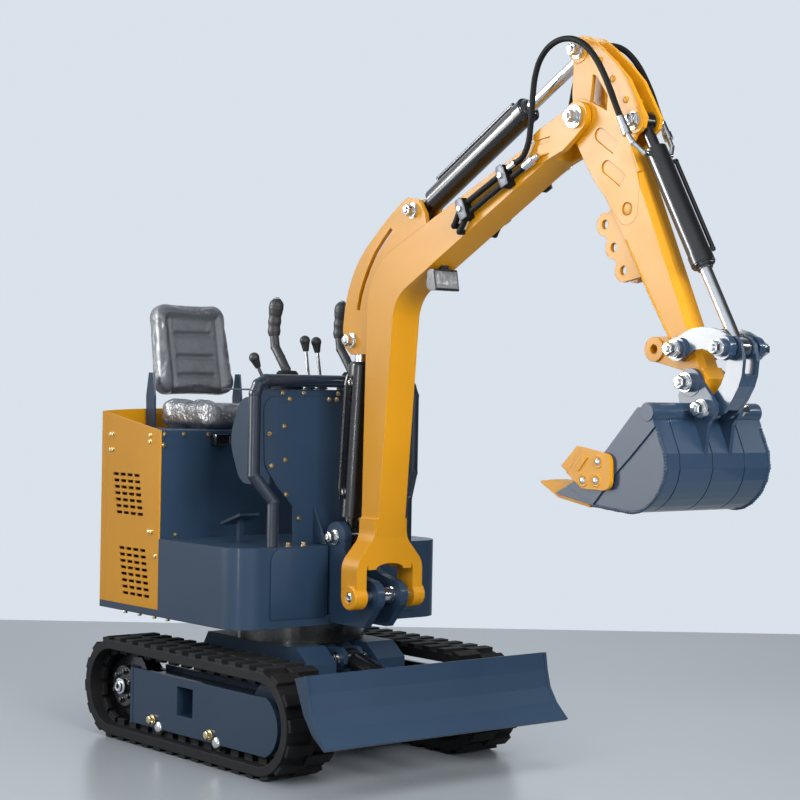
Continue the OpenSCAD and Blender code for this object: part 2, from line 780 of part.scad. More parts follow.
module bucket_rod() {
    l = dist(bucket_cyl_base, rod_eye);
    color(chrome) along(bucket_cyl_base, rod_eye) {
        bar_x(32, 250, l - 10);
        translate([l, 0, 0]) rotate([-90, 0, 0]) translate([0, 0, -16]) cylinder(d = 54, h = 32);
    }
}

module rockers() {
    arc = [[1627, 1266], [1650, 1286], [1674, 1300], [1702, 1308], [1732, 1311], [1764, 1308],
        [1792, 1301], [1820, 1287], [1836, 1262], [1830, 1240], [1803, 1227], [1769, 1246], [1733, 1256],
        [1705, 1253], [1684, 1241], [1667, 1226]];
    color(slate) both() difference() {
        union() {
            slab(arc, 44, 56);
            rod_y(rocker_pivot, 60, 44, 66);
            rod_y(rod_eye, 62, 44, 66);
        }
        rod_y(rocker_pivot, 36, 20, 100);
    }
    color(chrome) both() {
        rod_y(rod_eye, 33, 18, 76);
        rod_y(rod_eye, 46, 66, 76);
    }
}

module bucket_link() {
    outline = [[1774, 1262], [1790, 1285], [1815, 1287], [1836, 1270], [1844, 1228], [1840, 1190],
        [1830, 1162], [1812, 1132], [1785, 1098], [1745, 1079], [1720, 1094], [1722, 1125], [1757, 1146],
        [1774, 1168], [1786, 1196], [1790, 1227]];
    plate = strip([[1835, 1194], [1825, 1166], [1807, 1136], [1784, 1108]], 12);
    color(slate) difference() {
        union() {
            both() {
                slab(outline, 20, 31);
                rod_y(rod_eye, 60, 20, 32);
                rod_y(link_pin, 56, 20, 32);
            }
            slab(plate, -20, 20);
        }
        both() rod_y(rod_eye, 33.6, 10, 50);
    }
}

module bucket() {
    inside = bucket_half - bucket_t;
    ear = [[1652, 1140], [1660, 1100], [1741, 985], [1752, 1068], [1777, 1100], [1776, 1118], [1762, 1138],
        [1726, 1178], [1708, 1204], [1676, 1205]];
    color(slate) {
        difference() {
            slab(bucket_outer, -inside, inside);
            slab(bucket_inner, -bucket_half, bucket_half);
            for (y = seam_y) slab(strip([for (i = [6 : len(bucket_outer) - 1]) bucket_outer[i]], 6),
                y - 2, y + 2);
        }
        difference() {
            both() {
                slab(ear, 40, 52);
                rod_y(bucket_pivot, 72, 40, 54);
                rod_y(link_pin, 64, 40, 54);
            }
            rod_y(bucket_pivot, 35, -100, 100);
            rod_y(link_pin, 33, -100, 100);
        }
        both() rod_y(bucket_tube, 50, 40, inside);
    }
}

module bucket_sides() {
    edge = [bucket_outer[0], bucket_outer[1], bucket_outer[2], [1408, 901], [1504, 858], [1580, 939],
        [1630, 983], bucket_outer[14], bucket_outer[15]];
    color(slate) both() {
        slab(bucket_outer, bucket_half - bucket_t, bucket_half);
        slab(edge, bucket_half - 1, bucket_half + strip_t);
        rod_y(bucket_tube, 50, bucket_half - bucket_t, bucket_half + strip_t);
        rod_y(bucket_tube, 44, bucket_half, bucket_half + strip_t + 3);
    }
}

module bucket_pins() {
    color(chrome) {
        rod_y(bucket_pivot, 35, -72, 72);
        both() {
            rod_y(bucket_pivot, 48, 54, 72);
            rod_y(link_pin, 33, 36, 72);
            rod_y(link_pin, 46, 54, 72);
        }
    }
}

module teeth() {
    pitch = (2 * bucket_half - 70) / (teeth_count - 1);
    color(paint) for (i = [0 : teeth_count - 1]) translate([0, -bucket_half + 35 + i * pitch, 0])
        slab([[1297, 904], [1299, 909], [1346, 914], [1440, 897], [1440, 879], [1384, 888.8], [1381.5, 889.2],
            [1361.5, 880.2], [1361.6, 879.3], [1480, 858.7], [1480, 849], [1364, 868]], -25, 25);
}

module side_cutters() {
    plate = rounded([[1452, 1005], [1574, 987], [1577, 896], [1476, 897], [1396, 952]], [0, 24, 26, 12, 0]);
    y0 = bucket_half + strip_t + 0.2;
    color(paint) both() difference() {
        union() {
            slab(plate, y0, y0 + 12);
            along([1460, 946], [1490, 980]) translate([0, y0, -7]) cube([46, 16, 14]);
        }
        slab([[1390, 950], [1390, 1010], [1460, 1020], [1476, 1000], [1424, 934]], y0 + 8, y0 + 40);
    }
}

module blade() {
    mould = [[651, 334], [637, 332], [646, 280], [662, 226], [692, 180], [746, 136], [757, 142], [704, 188],
        [674, 230], [660, 282]];
    end = [[604, 322], [655, 334], [664, 280], [678, 230], [708, 186], [757, 142], [745, 136], [687, 176],
        [648, 226]];
    color(slate) {
        slab(mould, -blade_half + 8, blade_half - 8);
        both() {
            slab(end, blade_half - 10, blade_half);
            slab([[350, 180], [320, 200], [320, 232], [350, 250], [500, 250], [655, 280], [672, 235],
                [500, 195]], 126, 148);
            slab([[500, 245], [505, 205], [660, 240], [650, 275]], 28, 44);
            rod_y(blade_cyl_end, 60, 28, 44);
            rod_y(blade_pivot, 30, 96, 150);
        }
        slab([[480, 205], [480, 195], [505, 200], [505, 210]], -148, 148);
    }
}

module blade_barrel() {
    l = dist(blade_cyl_base, blade_cyl_end);
    color(black) along(blade_cyl_base, blade_cyl_end) difference() {
        union() {
            rotate([-90, 0, 0]) translate([0, 0, -20]) cylinder(d = 56, h = 40);
            bar_x(38, 0, 70);
            bar_x(66, 50, 200);
        }
        rotate([-90, 0, 0]) translate([0, 0, -50]) cylinder(d = 26, h = 100);
        bar_x(30.6, 90, l);
    }
}

module blade_rod() {
    l = dist(blade_cyl_base, blade_cyl_end);
    color(chrome) along(blade_cyl_base, blade_cyl_end) {
        bar_x(30, 110, l - 10);
        translate([l, 0, 0]) rotate([-90, 0, 0]) translate([0, 0, -18]) cylinder(d = 50, h = 36);
    }
}

module placed() { translate([-frame_mid_x, 0, 0]) children(); }

placed() track_left();
placed() track_right();
placed() track_frames();
placed() sprockets();
placed() idlers();
placed() rollers();
placed() centre_frame();
placed() frame_pins();
placed() slew_ring();
placed() floor_deck();
placed() boom_bracket();
placed() house_pins();
placed() side_covers();
placed() rear_panel();
placed() seat_box();
placed() engine();
placed() seat_cushion();
placed() seat_back();
placed() seat_hinge();
placed() console();
placed() guard_rail();
placed() joysticks();
placed() levers();
placed() lever_knobs();
placed() pedals();
placed() boom();
placed() boom_pins();
placed() boom_lines();
placed() hose_left();
placed() hose_right();
placed() work_lamp();
placed() boom_barrel();
placed() boom_rod();
placed() arm_barrel();
placed() arm_rod();
placed() arm();
placed() arm_cheeks();
placed() arm_pins();
placed() bucket_barrel();
placed() hose_ends();
placed() bucket_rod();
placed() rockers();
placed() bucket_link();
placed() bucket();
placed() bucket_sides();
placed() teeth();
placed() side_cutters();
placed() bucket_pins();
placed() blade();
placed() blade_barrel();
placed() blade_rod();
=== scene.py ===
import json
import math

import bpy
import bmesh
from bpy.props import FloatProperty, FloatVectorProperty, IntProperty, PointerProperty
from bpy.types import Operator, Panel, PropertyGroup
from mathutils import Matrix, Vector


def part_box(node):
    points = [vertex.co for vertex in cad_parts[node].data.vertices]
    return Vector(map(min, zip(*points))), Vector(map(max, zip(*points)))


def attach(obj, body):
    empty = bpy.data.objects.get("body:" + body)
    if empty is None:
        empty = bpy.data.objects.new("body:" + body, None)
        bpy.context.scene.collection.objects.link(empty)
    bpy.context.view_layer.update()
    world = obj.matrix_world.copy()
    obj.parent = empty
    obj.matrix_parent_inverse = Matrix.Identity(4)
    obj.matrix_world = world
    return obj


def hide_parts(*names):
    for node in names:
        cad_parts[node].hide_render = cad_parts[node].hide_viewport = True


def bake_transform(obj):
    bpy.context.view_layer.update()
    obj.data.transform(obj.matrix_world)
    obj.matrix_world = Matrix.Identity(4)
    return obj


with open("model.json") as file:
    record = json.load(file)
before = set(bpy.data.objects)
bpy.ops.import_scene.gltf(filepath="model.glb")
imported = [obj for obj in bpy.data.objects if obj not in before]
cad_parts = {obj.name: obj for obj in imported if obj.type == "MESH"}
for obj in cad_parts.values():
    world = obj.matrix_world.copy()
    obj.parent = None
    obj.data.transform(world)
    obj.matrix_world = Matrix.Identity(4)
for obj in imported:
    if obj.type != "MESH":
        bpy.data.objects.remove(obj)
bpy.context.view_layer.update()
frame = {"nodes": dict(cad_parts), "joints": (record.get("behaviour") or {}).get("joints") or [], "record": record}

bl_info = {
    "name": "Mini excavator looks",
    "version": (1, 0, 0),
    "blender": (4, 5, 0),
    "location": "View3D > Sidebar > Digger",
    "description": "Dresses the packed mini excavator with finishes, bolts, hoses, seat and studio",
    "category": "Object",
}

NODES = frame["nodes"]
JOINT_AT = {j["name"]: j.get("pos_m") for j in frame["joints"]}
SLEW_X = JOINT_AT["house_slew"][0]
FINISH = {}                                 # materials by finish name, filled by the finishes operator
MERGE = 0.00002                             # metres between points that are one
NODE_SMOOTH = 28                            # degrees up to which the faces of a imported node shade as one
OTHER_SIDE = Matrix.Diagonal((1, -1, 1, 1))
PRESSURE = 4.0                              # of the cloth that swells the seat
VOXEL = 0.006                               # metres between the points of a pad
CONSOLE_TOP = 1133                          # millimetres over the ground
STICK_Y = 130                               # millimetres from the middle to a joystick
FOOT_PIN = (422, 127, 513)                  # end of the boom's foot pin, in millimetres about the slew axis
BOOM_CYLINDER = ((254, 681), (297, 1287))   # its two pins in the side view


def at(x, y, z):
    """A point given in millimetres about the slew axis, in the row frame in metres."""
    return Vector((x / 1000 + SLEW_X, y / 1000, z / 1000))


class DiggerColours(PropertyGroup):
    """Finishes that a user would change."""

    orange: FloatVectorProperty(name="Orange paint", description="Boom, arm and covers", subtype="COLOR",
                                size=3, min=0, max=1, default=(0.65, 0.283, 0.004))
    slate: FloatVectorProperty(name="Slate paint", description="Undercarriage, deck, blade and bucket",
                               subtype="COLOR", size=3, min=0, max=1, default=(0.021, 0.044, 0.082))
    black: FloatVectorProperty(name="Black paint", description="Cylinder barrels", subtype="COLOR",
                               size=3, min=0, max=1, default=(0.006, 0.006, 0.007))
    rubber: FloatVectorProperty(name="Track rubber", description="Track belts", subtype="COLOR",
                                size=3, min=0, max=1, default=(0.006, 0.006, 0.0066))
    vinyl: FloatVectorProperty(name="Seat vinyl", description="Seat cushion and back", subtype="COLOR",
                               size=3, min=0, max=1, default=(0.056, 0.063, 0.076))
    wall: FloatVectorProperty(name="Backdrop", description="Wall behind the machine", subtype="COLOR",
                              size=3, min=0, max=1, default=(0.70, 0.76, 0.83))
    floor: FloatVectorProperty(name="Floor", description="Floor under the machine", subtype="COLOR",
                               size=3, min=0, max=1, default=(0.33, 0.36, 0.39))


class DiggerStage(PropertyGroup):
    """Camera and light of the studio."""

    camera_azimuth: FloatProperty(name="Camera azimuth", description="Turn of the camera round the machine",
                                  subtype="ANGLE", default=math.radians(50.52))
    camera_elevation: FloatProperty(name="Camera elevation", description="Height over the horizon",
                                    subtype="ANGLE", default=math.radians(0.43))
    camera_roll: FloatProperty(name="Camera roll", description="Turn of the picture", subtype="ANGLE",
                               default=math.radians(1.04))
    camera_distance: FloatProperty(name="Camera distance", description="From the aim point", unit="LENGTH",
                                   default=5.8206)
    camera_lens: FloatProperty(name="Lens", description="Focal length in millimetres", default=87.09)
    floor_size: FloatProperty(name="Floor size", description="Length of a side of the floor", unit="LENGTH",
                              default=6.8)
    key_power: FloatProperty(name="Key light", description="Power of the large lamp", default=125.0)
    fill_power: FloatProperty(name="Fill light", description="Power of the front lamp", default=315.0)
    top_power: FloatProperty(name="Top light", description="Power of the ceiling lamp", default=110.0)
    glare_power: FloatProperty(name="Glare", description="Power of the lamp that the arm's paint mirrors",
                               default=205.0)
    strip_power: FloatProperty(name="Strips", description="Power of a thin lamp that curved pieces mirror",
                               default=30.0)
    world_strength: FloatProperty(name="Room light", description="Strength of the even light", default=0.42)


class DiggerSizes(PropertyGroup):
    """Sizes of the added pieces."""

    bolt_across: FloatProperty(name="Bolt size", description="Across the flats of a cover bolt",
                               unit="LENGTH", default=0.011)
    hose_diameter: FloatProperty(name="Hose diameter", description="Outside of a ribbed hose",
                                 unit="LENGTH", default=0.017)
    seat_swell: FloatProperty(name="Seat swell", description="Most that a padded face may swell",
                              unit="LENGTH", default=0.014)
    swell_frames: IntProperty(name="Swell frames", description="Steps of the cushion simulation", default=20)


def colours():
    return bpy.context.scene.digger_colours


def stage():
    return bpy.context.scene.digger_stage


def sizes():
    return bpy.context.scene.digger_sizes


def clear_selection():
    """Leaves edit mode and selects nothing."""
    if bpy.context.object and bpy.context.object.mode != "OBJECT":
        bpy.ops.object.mode_set(mode="OBJECT")
    bpy.ops.object.select_all(action="DESELECT")


def only(obj):
    """Selects one object and makes it active."""
    clear_selection()
    obj.select_set(True)
    bpy.context.view_layer.objects.active = obj


def settle(obj):
    """Puts an object's place into its mesh."""
    only(obj)
    bpy.ops.object.transform_apply(location=True, rotation=True, scale=True)


def linked(obj):
    """Puts a new object into the scene."""
    bpy.context.scene.collection.objects.link(obj)
    return obj


def doubled(obj):
    """A copy of an object with a mesh of its own."""
    c = obj.copy()
    c.data = obj.data.copy()
    return linked(c)


def moved(obj, matrix):
    """Moves an object's mesh."""
    obj.data.transform(matrix)
    return obj


def joined(objs):
    """Joins meshes into one piece."""
    clear_selection()
    for o in objs:
        o.select_set(True)
    bpy.context.view_layer.objects.active = objs[0]
    if len(objs) > 1:
        bpy.ops.object.join()
    return objs[0]


def shaded(obj, angle):
    """Shades an object smooth, apart from edges sharper than the angle in degrees."""
    only(obj)
    bpy.ops.object.shade_smooth_by_angle(angle=math.radians(angle))


def dressed(obj, name, body, finish, smooth=35):
    """Names a piece, gives it its finish and lets it ride on a body."""
    obj.name = obj.data.name = name
    obj.data.materials.clear()
    obj.data.materials.append(FINISH[finish])
    shaded(obj, smooth)
    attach(obj, body)
    return obj


def turn_to(axis):
    """Turns +Z to an axis."""
    return Vector(axis).to_track_quat("Z", "Y").to_matrix().to_4x4()


def copies(proto, places):
    """Copies a piece that stands on +Z to (point, axis) places, joins the copies and removes the first."""
    made = [moved(doubled(proto), Matrix.Translation(point) @ turn_to(axis)) for point, axis in places]
    bpy.data.objects.remove(proto)
    return joined(made)


def select_faces(obj, test):
    """Selects in edit mode the faces that pass the test on centre and normal."""
    bm = bmesh.from_edit_mesh(obj.data)
    for f in bm.faces:
        f.select_set(False)
    for f in bm.faces:
        if test(f.calc_center_median(), f.normal):
            f.select_set(True)
    bm.select_flush_mode()
    bmesh.update_edit_mesh(obj.data)


def edit(obj):
    """Opens a mesh for edits of its faces."""
    only(obj)
    bpy.ops.object.mode_set(mode="EDIT")
    bpy.ops.mesh.select_mode(type="FACE")


def done():
    """Turns all faces outwards and leaves edit mode."""
    bpy.ops.mesh.select_all(action="SELECT")
    bpy.ops.mesh.normals_make_consistent(inside=False)
    bpy.ops.object.mode_set(mode="OBJECT")


def shaped(obj, kind, **settings):
    """Adds a modifier with its settings and applies it."""
    only(obj)
    bpy.ops.object.modifier_add(type=kind)
    m = obj.modifiers[-1]
    for key, value in settings.items():
        setattr(m, key, value)
    bpy.ops.object.modifier_apply(modifier=m.name)


def bevelled(obj, width, segments=2):
    """Rounds an object's edges."""
    shaped(obj, "BEVEL", width=width, segments=segments, limit_method="ANGLE")


def bar(radius, depth, low, vertices):
    """A round or many-sided bar on +Z that starts at a height."""
    clear_selection()
    bpy.ops.mesh.primitive_cylinder_add(vertices=vertices, radius=radius, depth=depth,
                                        location=(0, 0, low + depth / 2))
    settle(bpy.context.object)
    return bpy.context.object


def block(x, y, z):
    """A box of the given size about the origin."""
    clear_selection()
    bpy.ops.mesh.primitive_cube_add(size=1)
    bpy.context.object.scale = (x, y, z)
    settle(bpy.context.object)
    return bpy.context.object


def hex_bolt(across, height, washer):
    """A hexagon head on +Z with a chamfered crown, on a washer of the given radius."""
    head = bar(across / math.sqrt(3), height, washer / 4, 6)
    edit(head)
    select_faces(head, lambda c, n: n.z > 0.9)
    bpy.ops.mesh.inset(thickness=across * 0.07, depth=across * 0.05)
    done()
    bevelled(head, across * 0.03)
    ring = bar(washer, across * 0.16, 0, 24)
    bevelled(ring, across * 0.03)
    return joined([head, ring])


def new_mesh(points, edges, faces):
    mesh = bpy.data.meshes.new("mesh")
    mesh.from_pydata(points, edges, faces)
    return linked(bpy.data.objects.new("mesh", mesh))


def cleaned(obj):
    """Merges doubled points and turns all faces outwards."""
    edit(obj)
    bpy.ops.mesh.select_all(action="SELECT")
    bpy.ops.mesh.remove_doubles(threshold=MERGE)
    done()
    return obj


def turned(profile, steps=28):
    """A turned piece on +Z from (radius, height) points."""
    o = new_mesh([(r, 0, z) for r, z in profile], [(i, i + 1) for i in range(len(profile) - 1)], [])
    shaped(o, "SCREW", steps=steps, render_steps=steps, use_merge_vertices=True, merge_threshold=MERGE)
    return cleaned(o)


def pipe(points, radius, radii=None, rounds=3):
    """A round bar along points, with a factor on its radius at each point."""
    curve = bpy.data.curves.new("pipe", "CURVE")
    curve.dimensions = "3D"
    curve.bevel_depth = radius
    curve.bevel_resolution = rounds
    curve.use_fill_caps = True
    line = curve.splines.new("POLY")
    line.points.add(len(points) - 1)
    for i, point in enumerate(points):
        line.points[i].co = (*point, 1)
        line.points[i].radius = radii[i] if radii else 1
    only(linked(bpy.data.objects.new("pipe", curve)))
    bpy.ops.object.convert(target="MESH")
    return cleaned(bpy.context.object)


def plate(points, thickness, edge):
    """A flat plate from its outline, thickened behind it, with rounded edges."""
    o = new_mesh(points, [], [list(range(len(points)))])
    shaped(o, "SOLIDIFY", thickness=thickness)
    cleaned(o)
    bevelled(o, edge)
    return o


def curved(points, step):
    """A smooth line through points, with steps of about the given length."""
    line = []
    for i in range(len(points) - 1):
        a, b = points[max(i - 1, 0)], points[i]
        c, d = points[i + 1], points[min(i + 2, len(points) - 1)]
        count = max(2, round((c - b).length / step))
        for k in range(count):
            t = k / count
            line.append(0.5 * (2 * b + (c - a) * t + (2 * a - 5 * b + 4 * c - d) * t ** 2
                               + (3 * b - a - 3 * c + d) * t ** 3))
    line.append(points[-1].copy())
    return line


def line_frame(a, b):
    """The frame at a whose X runs to b in the side view, in millimetres about the slew axis."""
    x = Vector((b[0] - a[0], 0, b[1] - a[1])).normalized()
    axes = Matrix((x, Vector((0, 1, 0)), Vector((-x.z, 0, x.x)))).transposed().to_4x4()
    return Matrix.Translation(at(a[0], 0, a[1])) @ axes


def mirrored(objs):
    """Joins the pieces with the same ones on the other side."""
    return joined(objs + [cleaned(moved(doubled(o), OTHER_SIDE)) for o in objs])


# Finishes

def new_material(name):
    """A new material and the inputs of its shader."""
    m = bpy.data.materials.new(name)
    m.use_nodes = True
    return m, m.node_tree.nodes["Principled BSDF"].inputs


def noise(m, scale, detail, rough=0.55):
    """A noise in the object's own space."""
    coord = m.node_tree.nodes.new("ShaderNodeTexCoord")
    tex = m.node_tree.nodes.new("ShaderNodeTexNoise")
    tex.inputs["Scale"].default_value = scale
    tex.inputs["Detail"].default_value = detail
    tex.inputs["Roughness"].default_value = rough
    m.node_tree.links.new(coord.outputs["Object"], tex.inputs["Vector"])
    return tex.outputs["Fac"]


def tone(colour, factor):
    return tuple(min(1.0, c * factor) for c in colour)


def mottled(m, socket, value, colour, dark, light, low=0.3):
    """Lets a value change a colour from a darker to a lighter tone."""
    ramp = m.node_tree.nodes.new("ShaderNodeValToRGB")
    for i, place, factor in ((0, low, dark), (1, 0.7, light)):
        stop = ramp.color_ramp.elements[i]
        stop.position = place
        stop.color = (*tone(colour, factor), 1)
    m.node_tree.links.new(value, ramp.inputs["Fac"])
    m.node_tree.links.new(ramp.outputs["Color"], socket)


def uneven(m, socket, value, low, high):
    """Lets a value change a socket from low to high."""
    span = m.node_tree.nodes.new("ShaderNodeMapRange")
    span.inputs["To Min"].default_value = low
    span.inputs["To Max"].default_value = high
    m.node_tree.links.new(value, span.inputs["Value"])
    m.node_tree.links.new(span.outputs["Result"], socket)


def embossed(m, socket, height, strength, distance, edge=0.0):
    """Lets a height tilt a normal, over edges that look rounded if a radius is given."""
    skin = m.node_tree.nodes.new("ShaderNodeBump")
    skin.inputs["Strength"].default_value = strength
    skin.inputs["Distance"].default_value = distance
    m.node_tree.links.new(height, skin.inputs["Height"])
    if edge:
        round_edge = m.node_tree.nodes.new("ShaderNodeBevel")
        round_edge.inputs["Radius"].default_value = edge
        m.node_tree.links.new(round_edge.outputs["Normal"], skin.inputs["Normal"])
    m.node_tree.links.new(skin.outputs["Normal"], socket)


def paint(name, colour, rough, coat, peel=0.05, gloss=0.5, film=0.12):
    """Sprayed paint: slight tone changes, orange peel and edges that catch the light."""
    m, sockets = new_material(name)
    mottled(m, sockets["Base Color"], noise(m, 2.3, 3.0), colour, 0.93, 1.05)
    uneven(m, sockets["Roughness"], noise(m, 9.0, 5.0), rough - 0.06, rough + 0.10)
    sockets["Specular IOR Level"].default_value = gloss
    sockets["Coat Weight"].default_value = coat
    sockets["Coat Roughness"].default_value = film
    embossed(m, sockets["Normal"], noise(m, 420.0, 2.0), peel, 0.0006, edge=0.0025)
    return m


def rubber(name, colour):
    """Dusty moulded rubber."""
    m, sockets = new_material(name)
    sockets["Specular IOR Level"].default_value = 0.2
    mottled(m, sockets["Base Color"], noise(m, 14.0, 6.0), colour, 0.75, 1.5, low=0.35)
    uneven(m, sockets["Roughness"], noise(m, 30.0, 4.0), 0.5, 0.8)
    embossed(m, sockets["Normal"], noise(m, 260.0, 3.0), 0.25, 0.001, edge=0.004)
    return m


def bright_metal(name, colour, rough):
    """Plated or ground steel with fine streaks."""
    m, sockets = new_material(name)
    sockets["Metallic"].default_value = 1.0
    mottled(m, sockets["Base Color"], noise(m, 25.0, 3.0), colour, 0.85, 1.0)
    uneven(m, sockets["Roughness"], noise(m, 60.0, 3.0), rough * 0.7, rough * 1.4)
    return m


def vinyl(name, colour):
    """Grained seat vinyl with a shiny, creased skin."""
    m, sockets = new_material(name)
    mottled(m, sockets["Base Color"], noise(m, 6.0, 3.0), colour, 0.85, 1.25)
    sockets["Coat Weight"].default_value = 1.0
    sockets["Coat IOR"].default_value = 1.85
    sockets["Coat Roughness"].default_value = 0.12
    uneven(m, sockets["Roughness"], noise(m, 40.0, 3.0), 0.4, 0.6)
    embossed(m, sockets["Coat Normal"], noise(m, 20.0, 5.0, 0.62), 0.9, 0.016)
    embossed(m, sockets["Normal"], noise(m, 500.0, 2.0), 0.2, 0.0006)
    return m


def lamp_glass(name):
    """Clear glass with upright ribs."""
    m, sockets = new_material(name)
    sockets["Base Color"].default_value = (0.93, 0.96, 0.98, 1)
    sockets["Transmission Weight"].default_value = 0.85
    sockets["IOR"].default_value = 1.5
    uneven(m, sockets["Roughness"], noise(m, 40.0, 2.0), 0.03, 0.10)
    coord = m.node_tree.nodes.new("ShaderNodeTexCoord")
    ribs = m.node_tree.nodes.new("ShaderNodeTexWave")
    ribs.bands_direction = "Y"
    ribs.inputs["Scale"].default_value = 45.0
    m.node_tree.links.new(coord.outputs["Object"], ribs.inputs["Vector"])
    embossed(m, sockets["Normal"], ribs.outputs["Fac"], 0.4, 0.001)
    return m


def finishes():
    """All finishes by the record's slot name."""
    c = colours()
    return {
        "yellow_paint": paint("orange_paint", c.orange, rough=0.36, coat=0.0, gloss=0.3),
        "slate_paint": paint("slate_paint", c.slate, rough=0.40, coat=0.25, gloss=0.2),
        "rail_paint": paint("rail_paint", tone(c.slate, 0.35), rough=0.3, coat=0.3, gloss=0.4),
        "polished_slate": paint("polished_slate", c.slate, rough=0.22, coat=1.0, gloss=0.6),
        "bucket_paint": paint("bucket_paint", c.slate, rough=0.36, coat=0.7, peel=0.02, gloss=0.2,
                              film=0.05),
        "black_paint": paint("black_paint", c.black, rough=0.25, coat=0.6),
        "black_plastic": paint("black_plastic", tone(c.black, 2.0), rough=0.5, coat=0.0, peel=0.2),
        "rubber": rubber("track_rubber", c.rubber),
        "hose_rubber": rubber("hose_rubber", tone(c.rubber, 0.5)),
        "bright_steel": bright_metal("plated_steel", (0.78, 0.79, 0.80), 0.16),
        "seat_vinyl": vinyl("seat_vinyl", c.vinyl),
        "brass_plate": bright_metal("yellow_plated_steel", (0.72, 0.58, 0.32), 0.28),
        "grey_plate": paint("grey_plate", (0.16, 0.17, 0.20), rough=0.4, coat=0.0, peel=0.1),
        "lamp_glass": lamp_glass("lamp_glass"),
    }


class DIGGER_OT_finishes(Operator):
    """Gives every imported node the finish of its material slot"""

    bl_idname = "digger.finishes"
    bl_label = "Finishes"

    OWN = {"rockers": "polished_slate", "bucket_link": "polished_slate", "guard_rail": "rail_paint",
           "bucket": "bucket_paint"}

    def execute(self, context):
        FINISH.update(finishes())
        for row in frame["record"]["subparts"]:
            node = NODES[row["node"]]
            node.data.materials.clear()
            node.data.materials.append(FINISH[self.OWN.get(row["node"], row["material_slot"])])
            shaded(node, NODE_SMOOTH)
        return {"FINISHED"}


